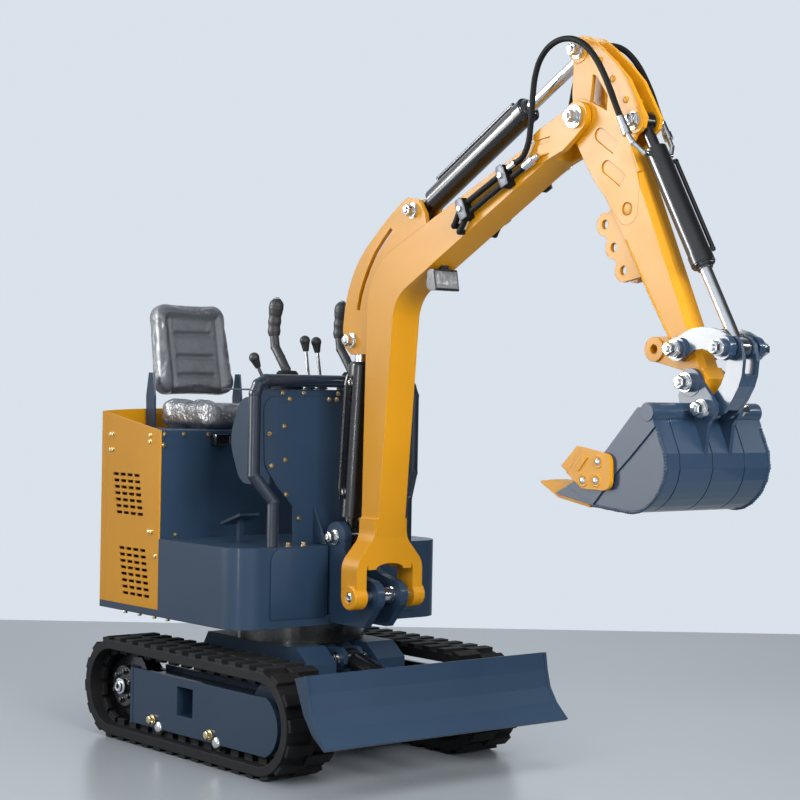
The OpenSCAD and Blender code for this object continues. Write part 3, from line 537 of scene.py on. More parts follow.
class DIGGER_OT_stage(Operator):
    """Makes the floor, the backdrop, the lamps and the camera"""

    bl_idname = "digger.stage"
    bl_label = "Studio"

    AIM = (484.45, 0, 1107.41)
    SENSOR = 36

    def execute(self, context):
        s = stage()
        self.backdrop()
        self.lamps(s)
        self.camera(s)
        context.scene.view_settings.view_transform = "Standard"
        return {"FINISHED"}

    def pale(self, name, colour, rough):
        m, sockets = new_material(name)
        mottled(m, sockets["Base Color"], noise(m, 0.8, 3.0), colour, 0.97, 1.02)
        sockets["Roughness"].default_value = rough
        return m

    def backdrop(self):
        clear_selection()
        s = stage()
        bpy.ops.mesh.primitive_plane_add(size=s.floor_size, location=at(484, 0, 0),
                                         rotation=(0, 0, s.camera_azimuth))
        floor = bpy.context.object
        floor.name = "studio_floor"
        edit(floor)
        bpy.ops.mesh.subdivide(number_cuts=7)
        done()
        floor.data.materials.append(self.pale("floor_finish", colours().floor, 0.28))
        self.off_floor = bpy.data.collections.new("off_floor")
        self.off_floor.objects.link(floor)
        self.off_floor.collection_objects[0].light_linking.link_state = "EXCLUDE"

    def lamps(self, s):
        world = bpy.data.worlds.new("room")
        bpy.context.scene.world = world
        world.use_nodes = True
        nodes, links = world.node_tree.nodes, world.node_tree.links
        back = nodes["Background"]
        back.inputs["Color"].default_value = (0.92, 0.96, 1.0, 1)
        back.inputs["Strength"].default_value = s.world_strength
        seen = nodes.new("ShaderNodeBackground")
        seen.inputs["Color"].default_value = (*colours().wall, 1)
        seen.inputs["Strength"].default_value = 1.0
        path = nodes.new("ShaderNodeLightPath")
        clear = nodes.new("ShaderNodeMath")
        clear.operation = "MAXIMUM"
        links.new(path.outputs["Is Camera Ray"], clear.inputs[0])
        links.new(path.outputs["Is Transmission Ray"], clear.inputs[1])
        mix = nodes.new("ShaderNodeMixShader")
        links.new(clear.outputs[0], mix.inputs["Fac"])
        links.new(back.outputs[0], mix.inputs[1])
        links.new(seen.outputs[0], mix.inputs[2])
        shine = nodes.new("ShaderNodeMixShader")
        links.new(path.outputs["Is Glossy Ray"], shine.inputs["Fac"])
        links.new(mix.outputs[0], shine.inputs[1])
        links.new(self.hall(nodes, links).outputs[0], shine.inputs[2])
        links.new(shine.outputs[0], nodes["World Output"].inputs["Surface"])
        self.lamp("key", (1.2, -4.6, 3.2), (0, 0, 1.0), 3.2, 3.2, s.key_power)
        self.lamp("fill", (5.5, -1.0, 2.7), (0, 0, 0.8), 2.6, 2.6, s.fill_power)
        self.lamp("top", (0, 0.5, 5.0), (0, 0, 0.5), 4.0, 4.0, s.top_power)
        for name, place, aim, size, height, power in (
                ("glare", (-2.35, -3.1, 2.55), (0.75, 0, 1.85), 1.3, 1.7, s.glare_power),
                ("low_glare", (-1.7, -3.1, 1.15), (1.05, 0, 1.1), 0.9, 1.3, s.glare_power * 0.16),
                ("ceiling_strip", (3.3, 3.0, 2.6), (1.2, 0, 1.0), 3.0, 0.10, s.strip_power),
                ("corner_strip", (2.4, -4.6, 0.95), (-0.4, -0.4, 0.55), 0.22, 1.8, s.strip_power)):
            self.lamp(name, place, aim, size, height, power, soft=False)

    def hall(self, nodes, links):
        """The wall as gloss shows it, dimmer towards the far end of the hall in front of the machine."""
        coord = nodes.new("ShaderNodeTexCoord")
        along = nodes.new("ShaderNodeVectorMath")
        along.operation = "DOT_PRODUCT"
        along.inputs[1].default_value = (0.70, 0.70, 0.10)
        links.new(coord.outputs["Generated"], along.inputs[0])
        fade = nodes.new("ShaderNodeMapRange")
        fade.inputs["From Min"].default_value = 0.0
        fade.inputs["From Max"].default_value = 0.65
        fade.inputs["To Min"].default_value = 1.0
        fade.inputs["To Max"].default_value = 0.06
        links.new(along.outputs["Value"], fade.inputs["Value"])
        wall = nodes.new("ShaderNodeBackground")
        wall.inputs["Color"].default_value = (*colours().wall, 1)
        links.new(fade.outputs["Result"], wall.inputs["Strength"])
        return wall

    def lamp(self, name, place, aim, size, height, power, soft=True):
        """A soft lamp, and its twin that only gloss off the floor shows."""
        for twin in (False, True) if soft else (True,):
            light = bpy.data.lights.new(name + "_gloss" * twin, "AREA")
            light.shape = "RECTANGLE"
            light.size = size
            light.size_y = height
            light.energy = power
            o = linked(bpy.data.objects.new(light.name, light))
            o.location = place
            o.rotation_euler = (Vector(aim) - Vector(place)).to_track_quat("-Z", "Y").to_euler()
            o.visible_diffuse = not twin
            o.visible_glossy = twin
            if twin:
                o.light_linking.receiver_collection = self.off_floor

    def camera(self, s):
        aim = at(*self.AIM)
        a, e, r = s.camera_azimuth, s.camera_elevation, s.camera_roll
        back = Vector((math.sin(a) * math.cos(e), -math.cos(a) * math.cos(e), math.sin(e)))
        right = Vector((math.cos(a), math.sin(a), 0))
        up = back.cross(right)
        turned_right = right * math.cos(r) + up * math.sin(r)
        turned_up = up * math.cos(r) - right * math.sin(r)
        data = bpy.data.cameras.new("photo_camera")
        data.lens = s.camera_lens
        data.sensor_width = self.SENSOR
        cam = linked(bpy.data.objects.new("photo_camera", data))
        axes = Matrix((turned_right, turned_up, back)).transposed().to_4x4()
        cam.matrix_world = Matrix.Translation(aim + back * s.camera_distance) @ axes
        bpy.context.scene.camera = cam


def smooth_step(value, low, high):
    t = max(0.0, min(1.0, (value - low) / (high - low)))
    return t * t * (3 - 2 * t)


def groove(distance, width):
    """A soft sewn channel: 1 on its line, 0 a width away."""
    return math.exp(-(distance / width) ** 2)


def swell(obj, cap):
    """Blows a closed pad up a little with cloth, then limits how far its points moved."""
    rest = [v.co.copy() for v in obj.data.vertices]
    cloth = obj.modifiers.new("swell", "CLOTH")
    cloth.settings.use_pressure = True
    cloth.settings.uniform_pressure_force = PRESSURE
    cloth.settings.effector_weights.gravity = 0.0
    for step in range(1, sizes().swell_frames + 1):
        bpy.context.scene.frame_set(step)
    only(obj)
    bpy.ops.object.modifier_apply(modifier=cloth.name)
    for v, start in zip(obj.data.vertices, rest):
        shift = v.co - start
        if shift.length > cap:
            v.co = start + shift.normalized() * cap
    bpy.context.scene.frame_set(1)


def pad(length, width, depth, corner, taper, relief):
    """A stuffed block: X is its length, Y its width, and its padded face looks along +Z."""
    o = block(length, width, depth)
    bpy.ops.object.mode_set(mode="EDIT")
    bpy.ops.mesh.select_mode(type="EDGE")
    pick_edges(o, lambda a, b: abs(a.z - b.z) > depth * 0.9)
    bpy.ops.mesh.bevel(offset=corner, segments=6)
    pick_edges(o, lambda a, b: a.z * b.z > 0 and abs(a.z - b.z) < depth * 0.1)
    bpy.ops.mesh.bevel(offset=depth * 0.30, segments=4)
    done()
    for v in o.data.vertices:
        v.co.y *= 1 - taper * (v.co.x / length + 0.5)
    o.data.remesh_voxel_size = VOXEL
    bpy.ops.object.voxel_remesh()
    swell(o, sizes().seat_swell)
    for v in o.data.vertices:
        v.co.z += relief(v.co.x, v.co.y) * smooth_step(v.co.z, 0, depth * 0.45)
    shaped(o, "SUBSURF", levels=1, render_levels=1)
    return o


def pick_edges(obj, test):
    """Selects in edit mode the edges whose two ends pass the test."""
    bm = bmesh.from_edit_mesh(obj.data)
    for e in bm.edges:
        e.select_set(False)
    for e in bm.edges:
        if test(e.verts[0].co, e.verts[1].co):
            e.select_set(True)
    bmesh.update_edit_mesh(obj.data)


class DIGGER_OT_seat(Operator):
    """Makes the padded seat cushion and seat back with side bolsters and sewn channels"""

    bl_idname = "digger.seat"
    bl_label = "Padded seat"

    def execute(self, context):
        low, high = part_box("seat_cushion")
        size = high - low
        cushion = pad(length=size.x - 0.014, width=size.y - 0.020, depth=0.062, corner=0.06, taper=0.04,
                      relief=self.cushion_relief)
        moved(cushion, Matrix.Translation((low + high) / 2 + Vector((0, 0, -0.006))))
        dressed(cushion, "seat_cushion_padded", "house", "seat_vinyl", 60)
        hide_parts("seat_cushion")
        back = pad(length=0.335, width=0.334, depth=0.040, corner=0.055, taper=0.10,
                   relief=self.back_relief)
        lean = Matrix.Rotation(math.radians(-12), 4, "Y")
        upright = Matrix(((0, 0, 1, 0), (0, 1, 0, 0), (1, 0, 0, 0), (0, 0, 0, 1)))
        moved(back, Matrix.Translation(at(-600, 0, 1098)) @ lean @ Matrix.Translation((-0.034, 0, 0.1725))
              @ upright @ OTHER_SIDE)
        dressed(back, "seat_back_padded", "house", "seat_vinyl", 60)
        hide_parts("seat_back")
        return {"FINISHED"}

    def cushion_relief(self, x, y):
        bolster = 0.016 * smooth_step(abs(y), 0.115, 0.165)
        channel = -0.008 * groove(abs(y) - 0.128, 0.007)
        cross = -0.006 * groove((x + 0.03) % 0.09 - 0.045, 0.006) * (1 - smooth_step(abs(y), 0.11, 0.125))
        return bolster + channel + cross

    def back_relief(self, x, y):
        bolster = 0.014 * max(smooth_step(abs(y), 0.085, 0.125), smooth_step(x, 0.095, 0.130))
        inner = 1 - smooth_step(abs(y), 0.070, 0.082)
        channel = -0.008 * groove(abs(y) - 0.098, 0.006) * (1 - smooth_step(x, 0.10, 0.12))
        cross = sum(-0.009 * groove(x - line, 0.006) * inner for line in (-0.095, -0.030, 0.050))
        return bolster + channel + cross


def pin_nut(across, height, stud):
    """A nut on +Z with the end of its bolt standing out."""
    head = hex_bolt(across, height, across * 0.68)
    end = bar(across * 0.33, stud, height, 20)
    bevelled(end, across * 0.06, 3)
    return joined([head, end])


def both_sides(points):
    """Places on both sides of the machine, looking out along Y."""
    return [(at(x, side * y, z), (0, side, 0)) for x, y, z in points for side in (-1, 1)]


class DIGGER_OT_pin_nuts(Operator):
    """Makes the plated nuts and bolt ends on the pins"""

    bl_idname = "digger.pin_nuts"
    bl_label = "Pin nuts"

    LONG = {
        "boom": [(1269, 66, 1878), (577, 44, 1669), (297, 44, 1287)],
        "arm": [(1255, 42, 2060), (1655, 78, 1255)],
        "rockers": [(1803, 76, 1259)],
        "bucket": [(1690, 72, 1172), (1745, 72, 1107)],
        "house": [(254, 64, 681)],
    }
    ACROSS = 0.031
    SHORT = {"arm": [(1466, 42, 1851)], "undercarriage": [(255, 46, 305)]}

    def execute(self, context):
        for places, height, stud, name in ((self.LONG, 0.018, 0.013, "_pin_nuts"),
                                           (self.SHORT, 0.012, 0.008, "_short_nuts")):
            for body, points in places.items():
                nuts = copies(pin_nut(self.ACROSS, height, stud), both_sides(points))
                dressed(nuts, body + name, body, "bright_steel")
        return {"FINISHED"}


class DIGGER_OT_cover_bolts(Operator):
    """Makes the yellow plated bolts of the covers, the console and the tracks' frames"""

    bl_idname = "digger.cover_bolts"
    bl_label = "Cover bolts"

    SIDE = [(-500, 408, 975), (-485, 408, 975), (-499, 408, 925), (-484, 408, 925), (-258, 408, 978),
            (-260, 408, 958), (-259, 408, 673), (-244, 408, 673), (-219, 408, 598)]
    SEAT_BOX = [(-392, 984), (-321, 984), (-228, 984), (-396, 950), (-347, 665)]
    CONSOLE = [(-165, 1103), (-15, 1103), (-240, 996), (-231, 898), (-173, 809), (-124, 733), (-185, 1019),
               (-179, 915)]
    LEDGE = [-190, -109, 25]

    def execute(self, context):
        places = both_sides(self.SIDE)
        places += [(at(-203, y * side, z), (1, 0, 0)) for y, z in self.SEAT_BOX for side in (1, -1)]
        places += [(at(150, y * side, z), (1, 0, 0)) for y, z in self.CONSOLE for side in (1, -1)]
        places += [(at(145, y, 1121), (1, 0, 0)) for y in self.LEDGE]
        across = sizes().bolt_across
        bolts = copies(hex_bolt(across, across * 0.45, across * 0.66), places)
        dressed(bolts, "cover_bolts", "house", "brass_plate")
        frame_places = [(at(x, side * 430, 89), (0, side, 0)) for x in (-186, 134) for side in (-1, 1)]
        heads = copies(hex_bolt(0.022, 0.012, 0.016), frame_places)
        dressed(heads, "frame_bolts", "undercarriage", "brass_plate")
        return {"FINISHED"}


class DIGGER_OT_hoses(Operator):
    """Makes the two ribbed hoses that loop from the boom's lines to the bucket cylinder"""

    bl_idname = "digger.hoses"
    bl_label = "Hoses"

    ROUTE = [(1040, 68, 1766), (1078, 68, 1785), (1100, 69, 1820), (1110, 71, 1864), (1116, 73, 1910),
             (1122, 75, 1955), (1131, 77, 1998), (1150, 79, 2038), (1181, 80, 2068), (1221, 80, 2084),
             (1265, 80, 2084), (1307, 80, 2070), (1343, 80, 2043), (1373, 80, 2009), (1398, 80, 1971),
             (1420, 80, 1931), (1439, 79, 1891), (1456, 78, 1858)]

    STEP = 0.0016       # metres between the points of a hose
    RIB = 4             # steps from one rib to the next
    RIB_DEPTH = 0.07    # of the hose's radius

    def execute(self, context):
        thick = sizes().hose_diameter
        for name, side in (("hose_left", 1), ("hose_right", -1)):
            line = curved([at(x, side * y, z) for x, y, z in self.ROUTE], self.STEP)
            ribs = [1 - self.RIB_DEPTH * (i % self.RIB == 0) for i in range(len(line))]
            hose = pipe(line, thick / 2, ribs, 4)
            hose.name = hose.data.name = name + "_ribbed"
            hose.data.materials.append(FINISH["hose_rubber"])
            shaded(hose, 50)
            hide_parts(name)
            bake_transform(hose)
        return {"FINISHED"}


class DIGGER_OT_line_fittings(Operator):
    """Makes the clamps, bolts, ferrules and capped ends of the lines on the boom"""

    bl_idname = "digger.line_fittings"
    bl_label = "Line fittings"

    UPPER = ((826, 1662), (1039.5, 1765.8))
    LOWER = ((856, 1642), (1089, 1759))
    CLAMPS = (0, 187)
    CLAMP = [(0, -0.046), (0.028, -0.046), (0.030, -0.020), (0.030, 0.004), (0.024, 0.018), (0.004, 0.018),
             (-0.002, 0.004), (-0.002, -0.020)]
    CAP = [(0, 0), (0.0122, 0), (0.0126, 0.006), (0.0122, 0.012), (0.0126, 0.018), (0.0122, 0.024),
           (0.0138, 0.026), (0.0138, 0.040), (0.0086, 0.042), (0.0086, 0.058), (0.0070, 0.0605), (0, 0.0605)]
    SLEEVE = [(0.0086, -0.020), (0.0108, -0.020), (0.0112, -0.014), (0.0106, -0.009), (0.0112, -0.004),
              (0.0106, 0.001), (0.0112, 0.006), (0.0106, 0.012), (0.0086, 0.012)]
    OUT = 0.068

    def execute(self, context):
        clamps, bolts, ends = [], [], []
        upper = line_frame(*self.UPPER)
        for step in self.CLAMPS:
            x, y = (step - 2) / 1000, 0.084
            outline = [(x + along, y, up) for along, up in self.CLAMP]
            clamps.append(moved(plate(outline, 0.004, 0.0015), upper))
            bolts.append((upper @ Vector((x + 0.014, y, -0.014)), (0, 1, 0)))
        lower = line_frame(*self.LOWER)
        reach = (Vector(self.LOWER[1]) - Vector(self.LOWER[0])).length / 1000 - 0.004
        start = (Vector(self.UPPER[1]) - Vector(self.UPPER[0])).length / 1000
        for profile, line, along in ((self.CAP, lower, reach), (self.SLEEVE, upper, start)):
            place = line @ Matrix.Translation((along, self.OUT, 0)) @ turn_to((1, 0, 0))
            ends.append(moved(turned(profile), place))
        dressed(mirrored(clamps), "line_clamps", "boom", "grey_plate")
        heads = copies(hex_bolt(0.015, 0.009, 0.010), bolts)
        dressed(mirrored([heads]), "clamp_bolts", "boom", "bright_steel")
        dressed(mirrored(ends), "line_ends", "boom", "bright_steel")
        return {"FINISHED"}


class DIGGER_OT_work_lamp(Operator):
    """Makes the reflector and the ribbed glass of the work lamp"""

    bl_idname = "digger.work_lamp"
    bl_label = "Work lamp"

    def execute(self, context):
        face = line_frame((691, 1436), (681, 1488))
        clear_selection()
        bpy.ops.mesh.primitive_grid_add(x_subdivisions=5, y_subdivisions=7, size=1)
        dish = bpy.context.object
        dish.scale = (0.050, 0.080, 1)
        settle(dish)
        edit(dish)
        bpy.ops.mesh.select_all(action="SELECT")
        bpy.ops.mesh.inset(thickness=0.0012, depth=-0.004, use_individual=True)
        bpy.ops.mesh.inset(thickness=0.0012, depth=-0.002, use_individual=True)
        done()
        moved(dish, face @ Matrix.Translation((0.026, 0, -0.004)) @ Matrix.Rotation(math.pi, 4, "X"))
        dressed(dish, "lamp_reflector", "boom", "bright_steel")
        corners = [(0.001, -0.0405, 0), (0.052, -0.0405, 0), (0.052, 0.0405, 0), (0.001, 0.0405, 0)]
        glass = plate([face @ Vector(c) for c in corners], 0.003, 0.001)
        dressed(glass, "lamp_glass", "boom", "lamp_glass")
        return {"FINISHED"}


class DIGGER_OT_controls(Operator):
    """Makes the bellows and grips of the joysticks, the collars of the levers and the pedals' treads"""

    bl_idname = "digger.controls"
    bl_label = "Controls"

    GRIP = [(13.5, 168), (12, 182), (13, 200), (15, 218), (17.5, 236), (20, 250), (22, 264), (24, 276),
            (25, 284)]
    GRIP_SIZE = [0.84, 0.98, 0.90, 1.0, 0.92, 1.04, 1.12, 1.0, 0.55]
    BUTTON = [(0, 0.0035), (0.006, 0.003), (0.0075, 0.001), (0.0078, -0.006), (0, -0.006)]
    COLLAR = [(0.0068, 0.016), (0.0105, 0.015), (0.013, 0.008), (0.0185, 0.0045), (0.0205, 0.0003),
              (0.0068, 0.0003)]
    LEVERS = [(-3, -0.112), (44, -0.131), (-168, -0.354)]

    def execute(self, context):
        folds = [(0.0515, 0.0005)]
        for i in range(5):
            low, r = 0.003 + i * 0.0108, 0.0505 - i * 0.0042
            folds += [(r, low), (r + 0.0008, low + 0.004), (r - 0.0045, low + 0.009)]
        folds += [(0.029, 0.0575), (0.0165, 0.0585)]
        feet = [(at(86, side * STICK_Y, CONSOLE_TOP), (0, 0, 1)) for side in (-1, 1)]
        boots = copies(turned(folds, 36), feet)
        dressed(boots, "joystick_boots", "house", "hose_rubber", 30)
        grips = []
        for side in (-1, 1):
            line = curved([at(x, side * STICK_Y, CONSOLE_TOP + z) for x, z in self.GRIP], 0.003)
            spread = [self.size_at(i / (len(line) - 1)) for i in range(len(line))]
            grips.append(pipe(line, 0.0212, spread, 5))
        dressed(joined(grips), "joystick_grips", "house", "black_plastic", 40)
        tops = [(at(26, side * STICK_Y, 1418.5), (0.15, 0, 1)) for side in (-1, 1)]
        buttons = copies(turned(self.BUTTON, 20), tops)
        dressed(buttons, "grip_buttons", "house", "grey_plate")
        slots = [(at(35, y, CONSOLE_TOP), (0, lean, 1)) for y, lean in self.LEVERS]
        collars = copies(turned(self.COLLAR, 24), slots)
        dressed(collars, "lever_collars", "house", "hose_rubber")
        self.treads()
        return {"FINISHED"}

    def size_at(self, t):
        place = t * (len(self.GRIP_SIZE) - 1)
        i = min(int(place), len(self.GRIP_SIZE) - 2)
        return self.GRIP_SIZE[i] + (self.GRIP_SIZE[i + 1] - self.GRIP_SIZE[i]) * smooth_step(place - i, 0, 1)

    def treads(self):
        ribs = []
        lean = Matrix.Rotation(math.radians(-18), 4, "Y")
        for side in (-1, 1):
            top = Matrix.Translation(at(-20, side * 225, 720)) @ lean
            for i in range(7):
                rib = block(0.008, 0.072, 0.005)
                bevelled(rib, 0.0015)
                ribs.append(moved(rib, top @ Matrix.Translation((-0.048 + i * 0.016, 0, 0.0103))))
        dressed(joined(ribs), "pedal_treads", "house", "hose_rubber")


class DIGGER_OT_bucket_bolts(Operator):
    """Makes the domed bolts of the bucket's side cutters"""

    bl_idname = "digger.bucket_bolts"
    bl_label = "Bucket bolts"

    PLACES = [(1533, 213.2, 968), (1481, 213.2, 918), (1527, 213.2, 920)]

    def execute(self, context):
        dome = turned([(0, 0.0072), (0.004, 0.0068), (0.0075, 0.0050), (0.0095, 0.0020), (0.0098, 0),
                       (0, 0)], 24)
        heads = copies(dome, both_sides(self.PLACES))
        dressed(heads, "cutter_bolts", "bucket", "bright_steel")
        ring = turned([(0.0102, 0), (0.0102, 0.0016), (0.0150, 0.0022), (0.0172, 0)], 24)
        rims = copies(ring, both_sides(self.PLACES))
        dressed(rims, "cutter_rims", "bucket", "yellow_paint")
        return {"FINISHED"}


class DIGGER_OT_arm_spacers(Operator):
    """Makes the spacer bars between the arm's cheeks, with their rounded ends"""

    bl_idname = "digger.arm_spacers"
    bl_label = "Arm spacers"

    PLACES = [(1383, 1969), (1433, 1909), (1335, 2024), (1300, 2054)]

    def execute(self, context):
        half = [(0.0075, 0), (0.0075, 0.0335), (0.0095, 0.0340), (0.0092, 0.0362), (0.0060, 0.0380),
                (0, 0.0386)]
        profile = [(r, -z) for r, z in reversed(half)] + half[1:]
        bars = copies(turned(profile, 20), [(at(x, 0, z), (0, 1, 0)) for x, z in self.PLACES])
        dressed(bars, "arm_spacers", "arm", "yellow_paint")
        plug = turned([(0, 0.0035), (0.012, 0.0033), (0.0150, 0.0022), (0.0162, 0)])
        caps = copies(plug, both_sides([(1444, 30, 1623)]))
        dressed(caps, "arm_plugs", "arm", "yellow_paint")
        return {"FINISHED"}


class DIGGER_OT_welds(Operator):
    """Makes the weld beads of the arm's rear edges, the boom's fork and the bucket's sides"""

    bl_idname = "digger.welds"
    bl_label = "Welds"

    ARM = [(1441, 34, 1542), (1490, 34, 1462), (1537, 34, 1386), (1604, 34, 1283)]
    FORK = [(376, 52.5, 748), (451, 52.5, 748), (452.5, 51, 748), (452.5, 0, 748)]
    BUCKET = [(x, 194, z) for x, z in (
        (1500, 856), (1589, 848), (1638, 845), (1664, 851), (1686, 862), (1708, 880),
        (1723, 898), (1737, 925), (1745, 957), (1741, 996), (1714, 1057))]

    def bead(self, points, radius):
        line = []
        for a, b in zip(points, points[1:]):
            count = max(2, round((b - a).length / 0.0022))
            line += [a.lerp(b, k / count) for k in range(count)]
        line.append(points[-1])
        ripple = [1 + 0.22 * math.sin(i * 1.6) + 0.10 * math.sin(i * 0.37) for i in range(len(line))]
        return pipe(line, radius, ripple, 1)

    def execute(self, context):
        for name, body, points, radius, finish in (
                ("arm_welds", "arm", self.ARM, 0.0030, "yellow_paint"),
                ("fork_welds", "boom", self.FORK, 0.0036, "yellow_paint"),
                ("bucket_welds", "bucket", self.BUCKET, 0.0042, "slate_paint")):
            beads = mirrored([self.bead([at(*p) for p in points], radius)])
            dressed(beads, name, body, finish, 60)
        return {"FINISHED"}


class DIGGER_OT_cylinder_trims(Operator):
    """Makes the pipe of the boom cylinder and the plated fittings and rings of the cylinders"""

    bl_idname = "digger.cylinder_trims"
    bl_label = "Cylinder trims"

    RINGS = {
        "boom_barrel": (*BOOM_CYLINDER, 532.5, 38, 20.3),
        "arm_barrel": ((577, 1669), (1255, 2060), 520, 35, 17.3),
        "bucket_barrel": ((1466, 1851), (1803, 1259), 440, 30, 16.3),
        "blade_barrel": ((255, 305), (530, 238), 200, 33, 15.3),
    }
    PIPE = [(0.140, -0.030), (0.140, -0.047), (0.147, -0.053), (0.470, -0.053), (0.477, -0.047),
            (0.477, -0.030)]
    RIM = [(0.0150, 0), (0.0150, 0.0072), (0.0168, 0.0088), (0.0340, 0.0088), (0.0372, 0.0060), (0.0372, 0)]
    END = [(0.0045, 0.0040), (0.0045, 0.0080), (0.0100, 0.0086), (0.0140, 0.0064), (0.0140, 0)]

    def execute(self, context):
        for body, (a, b, end, outer, bore) in self.RINGS.items():
            o, i = outer / 1000, bore / 1000
            ring = turned([(i, 0), (i, 0.010), (i + 0.004, 0.0105), (o - 0.010, 0.0085), (o - 0.005, 0.004),
                           (o - 0.004, 0), (i, 0)], 32)
            moved(ring, line_frame(a, b) @ Matrix.Translation((end / 1000, 0, 0)) @ turn_to((1, 0, 0)))
            dressed(ring, body + "_gland", body, "black_paint")
        base = line_frame(*BOOM_CYLINDER)
        line = [base @ Vector((x, y, 0)) for x, y in self.PIPE]
        tube = pipe(curved(line, 0.003), 0.0065)
        dressed(tube, "boom_cylinder_pipe", "boom_barrel", "black_paint", 50)
        nut = hex_bolt(0.022, 0.010, 0.013)
        nuts = copies(nut, [(base @ Vector((x, -0.036, 0)), (0, -1, 0)) for x in (0.140, 0.477)])
        dressed(nuts, "boom_cylinder_nuts", "boom_barrel", "bright_steel")
        rims = copies(turned(self.RIM, 32), both_sides([FOOT_PIN]))
        dressed(rims, "foot_pin_rims", "boom", "yellow_paint")
        ends = copies(turned(self.END), both_sides([FOOT_PIN]))
        dressed(ends, "foot_pin_ends", "boom", "bright_steel")
        half = [(0.0236, 0), (0.0236, 0.024), (0.0265, 0.0255), (0.0265, 0.0290), (0.0218, 0.0292)]
        sleeve = turned([(r, -z) for r, z in reversed(half)] + half[1:], 36)
        sleeve = copies(sleeve, [(at(FOOT_PIN[0], 0, FOOT_PIN[2]), (0, 1, 0))])
        dressed(sleeve, "foot_pin_sleeve", "boom", "bright_steel")
        return {"FINISHED"}


class DIGGER_OT_track_trims(Operator):
    """Makes the domes of the rollers and the bolted hubs of the sprockets"""

    bl_idname = "digger.track_trims"
    bl_label = "Track trims"

    ROLLERS = [(-155, 424.2, 68.3), (166, 424.2, 68.3)]
    HUB = (-413, 412, 163)

    def execute(self, context):
        dome = turned([(0, 0.0118), (0.008, 0.0114), (0.0150, 0.0098), (0.0190, 0.0060), (0.0212, 0.0016),
                       (0.0212, 0), (0, 0)])
        dressed(copies(dome, both_sides(self.ROLLERS)), "roller_domes", "undercarriage", "bright_steel")
        hub = turned([(0.0080, 0.0040), (0.0080, 0.0095), (0.0150, 0.0105), (0.0185, 0.0080),
                      (0.0195, 0.0030), (0.0255, 0.0020), (0.0270, 0)])
        dressed(copies(hub, both_sides([self.HUB])), "sprocket_hubs", "undercarriage", "bright_steel")
        ring = [(self.HUB[0] + 47 * math.cos(a), 398, self.HUB[2] + 47 * math.sin(a))
                for a in (math.radians(60 * k + 20) for k in range(6))]
        heads = copies(hex_bolt(0.014, 0.008, 0.0105), both_sides(ring))
        dressed(heads, "hub_bolts", "undercarriage", "black_paint")
        return {"FINISHED"}


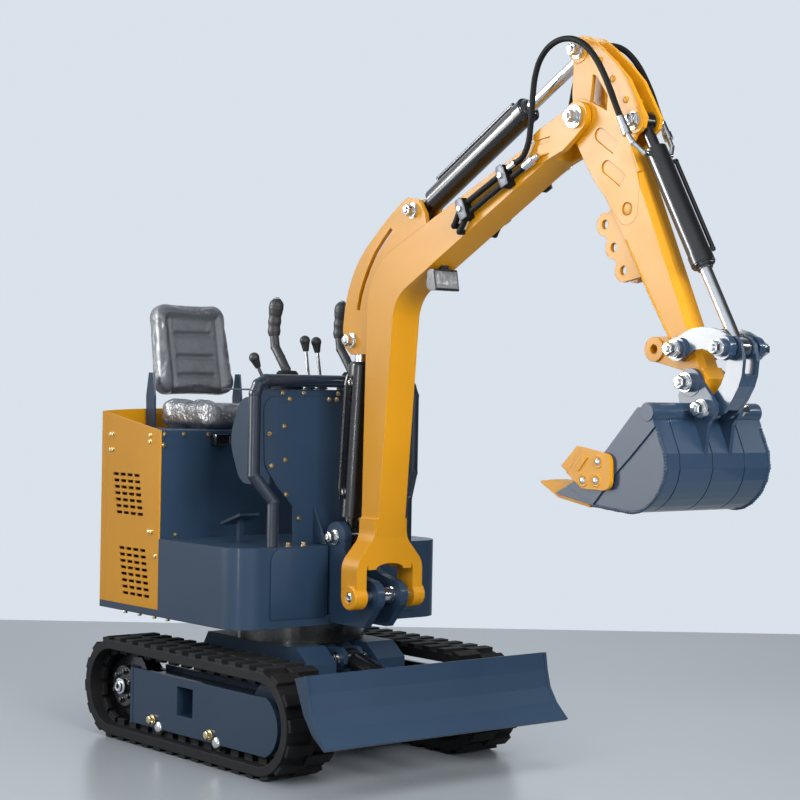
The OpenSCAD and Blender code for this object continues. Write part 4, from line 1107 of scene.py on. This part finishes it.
class DIGGER_OT_deck_trims(Operator):
    """Makes the doors of the front boxes, the gussets, the bracket on the seat box and the lower bolts"""

    bl_idname = "digger.deck_trims"
    bl_label = "Deck trims"

    TAIL = 689.8        # millimetres from the slew axis to the rear panel's face

    def execute(self, context):
        corner = [(-285 + 42 * (1 - math.cos(a)), 608 + 42 * math.sin(a))
                  for a in (math.radians(15 * k) for k in range(7))]
        outline = [(-80, 650), (-80, 434), (-285, 434)] + corner
        door = plate([at(231.5, y, z) for y, z in outline], 0.0024, 0.0008)
        dressed(mirrored([door]), "box_doors", "house", "slate_paint")
        gusset = plate([at(*p) for p in ((151, -67, 655), (218, -67, 655), (151, -67, 770))], 0.006, 0.0012)
        dressed(mirrored([gusset]), "gussets", "house", "slate_paint")
        under = [(at(x, side * 386, 408), (0, 0, -1)) for x in (-430, -344, -255, -178) for side in (-1, 1)]
        floor = [(at(208, side * y, 654), (0, 0, 1)) for y in (203, 144) for side in (-1, 1)]
        r = self.TAIL
        rear = [(at(-r * math.cos(a), r * math.sin(a), z), (-math.cos(a), math.sin(a), 0))
                for a in (math.radians(d) for d in (-26, 26)) for z in (470, 700, 1000)]
        bolts = copies(hex_bolt(0.014, 0.008, 0.0105), under + floor)
        dressed(bolts, "deck_bolts", "house", "brass_plate")
        heads = copies(hex_bolt(0.013, 0.006, 0.010), rear)
        dressed(heads, "rear_bolts", "house", "brass_plate")
        self.bracket()
        return {"FINISHED"}

    def bracket(self):
        socket = block(0.034, 0.058, 0.036)
        edit(socket)
        select_faces(socket, lambda c, n: n.x > 0.9)
        bpy.ops.mesh.inset(thickness=0.006, depth=-0.006)
        done()
        bevelled(socket, 0.0015)
        moved(socket, Matrix.Translation(at(-185.7, -190, 966)))
        dressed(socket, "seat_box_bracket", "house", "black_paint")


class DIGGER_PT_panel(Panel):
    """Lists the operators and the values that they use"""

    bl_label = "Mini excavator"
    bl_idname = "DIGGER_PT_panel"
    bl_space_type = "VIEW_3D"
    bl_region_type = "UI"
    bl_category = "Digger"

    def draw(self, context):
        for op in OPERATORS:
            self.layout.operator(op.bl_idname)
        for group, values in zip(GROUPS, (colours(), stage(), sizes())):
            for key in group.__annotations__:
                self.layout.prop(values, key)


OPERATORS = [DIGGER_OT_stage, DIGGER_OT_finishes, DIGGER_OT_hoses, DIGGER_OT_seat, DIGGER_OT_pin_nuts,
             DIGGER_OT_cover_bolts, DIGGER_OT_line_fittings, DIGGER_OT_work_lamp, DIGGER_OT_controls,
             DIGGER_OT_bucket_bolts, DIGGER_OT_arm_spacers, DIGGER_OT_welds, DIGGER_OT_cylinder_trims,
             DIGGER_OT_track_trims, DIGGER_OT_deck_trims]
GROUPS = [DiggerColours, DiggerStage, DiggerSizes]


def register():
    for cls in GROUPS + OPERATORS + [DIGGER_PT_panel]:
        bpy.utils.register_class(cls)
    bpy.types.Scene.digger_colours = PointerProperty(type=DiggerColours)
    bpy.types.Scene.digger_stage = PointerProperty(type=DiggerStage)
    bpy.types.Scene.digger_sizes = PointerProperty(type=DiggerSizes)


def unregister():
    del bpy.types.Scene.digger_sizes
    del bpy.types.Scene.digger_stage
    del bpy.types.Scene.digger_colours
    for cls in reversed(GROUPS + OPERATORS + [DIGGER_PT_panel]):
        bpy.utils.unregister_class(cls)


def main():
    register()
    for op in OPERATORS:
        group, name = op.bl_idname.split(".")
        getattr(getattr(bpy.ops, group), name)()


if __name__ == "__main__":
    main()
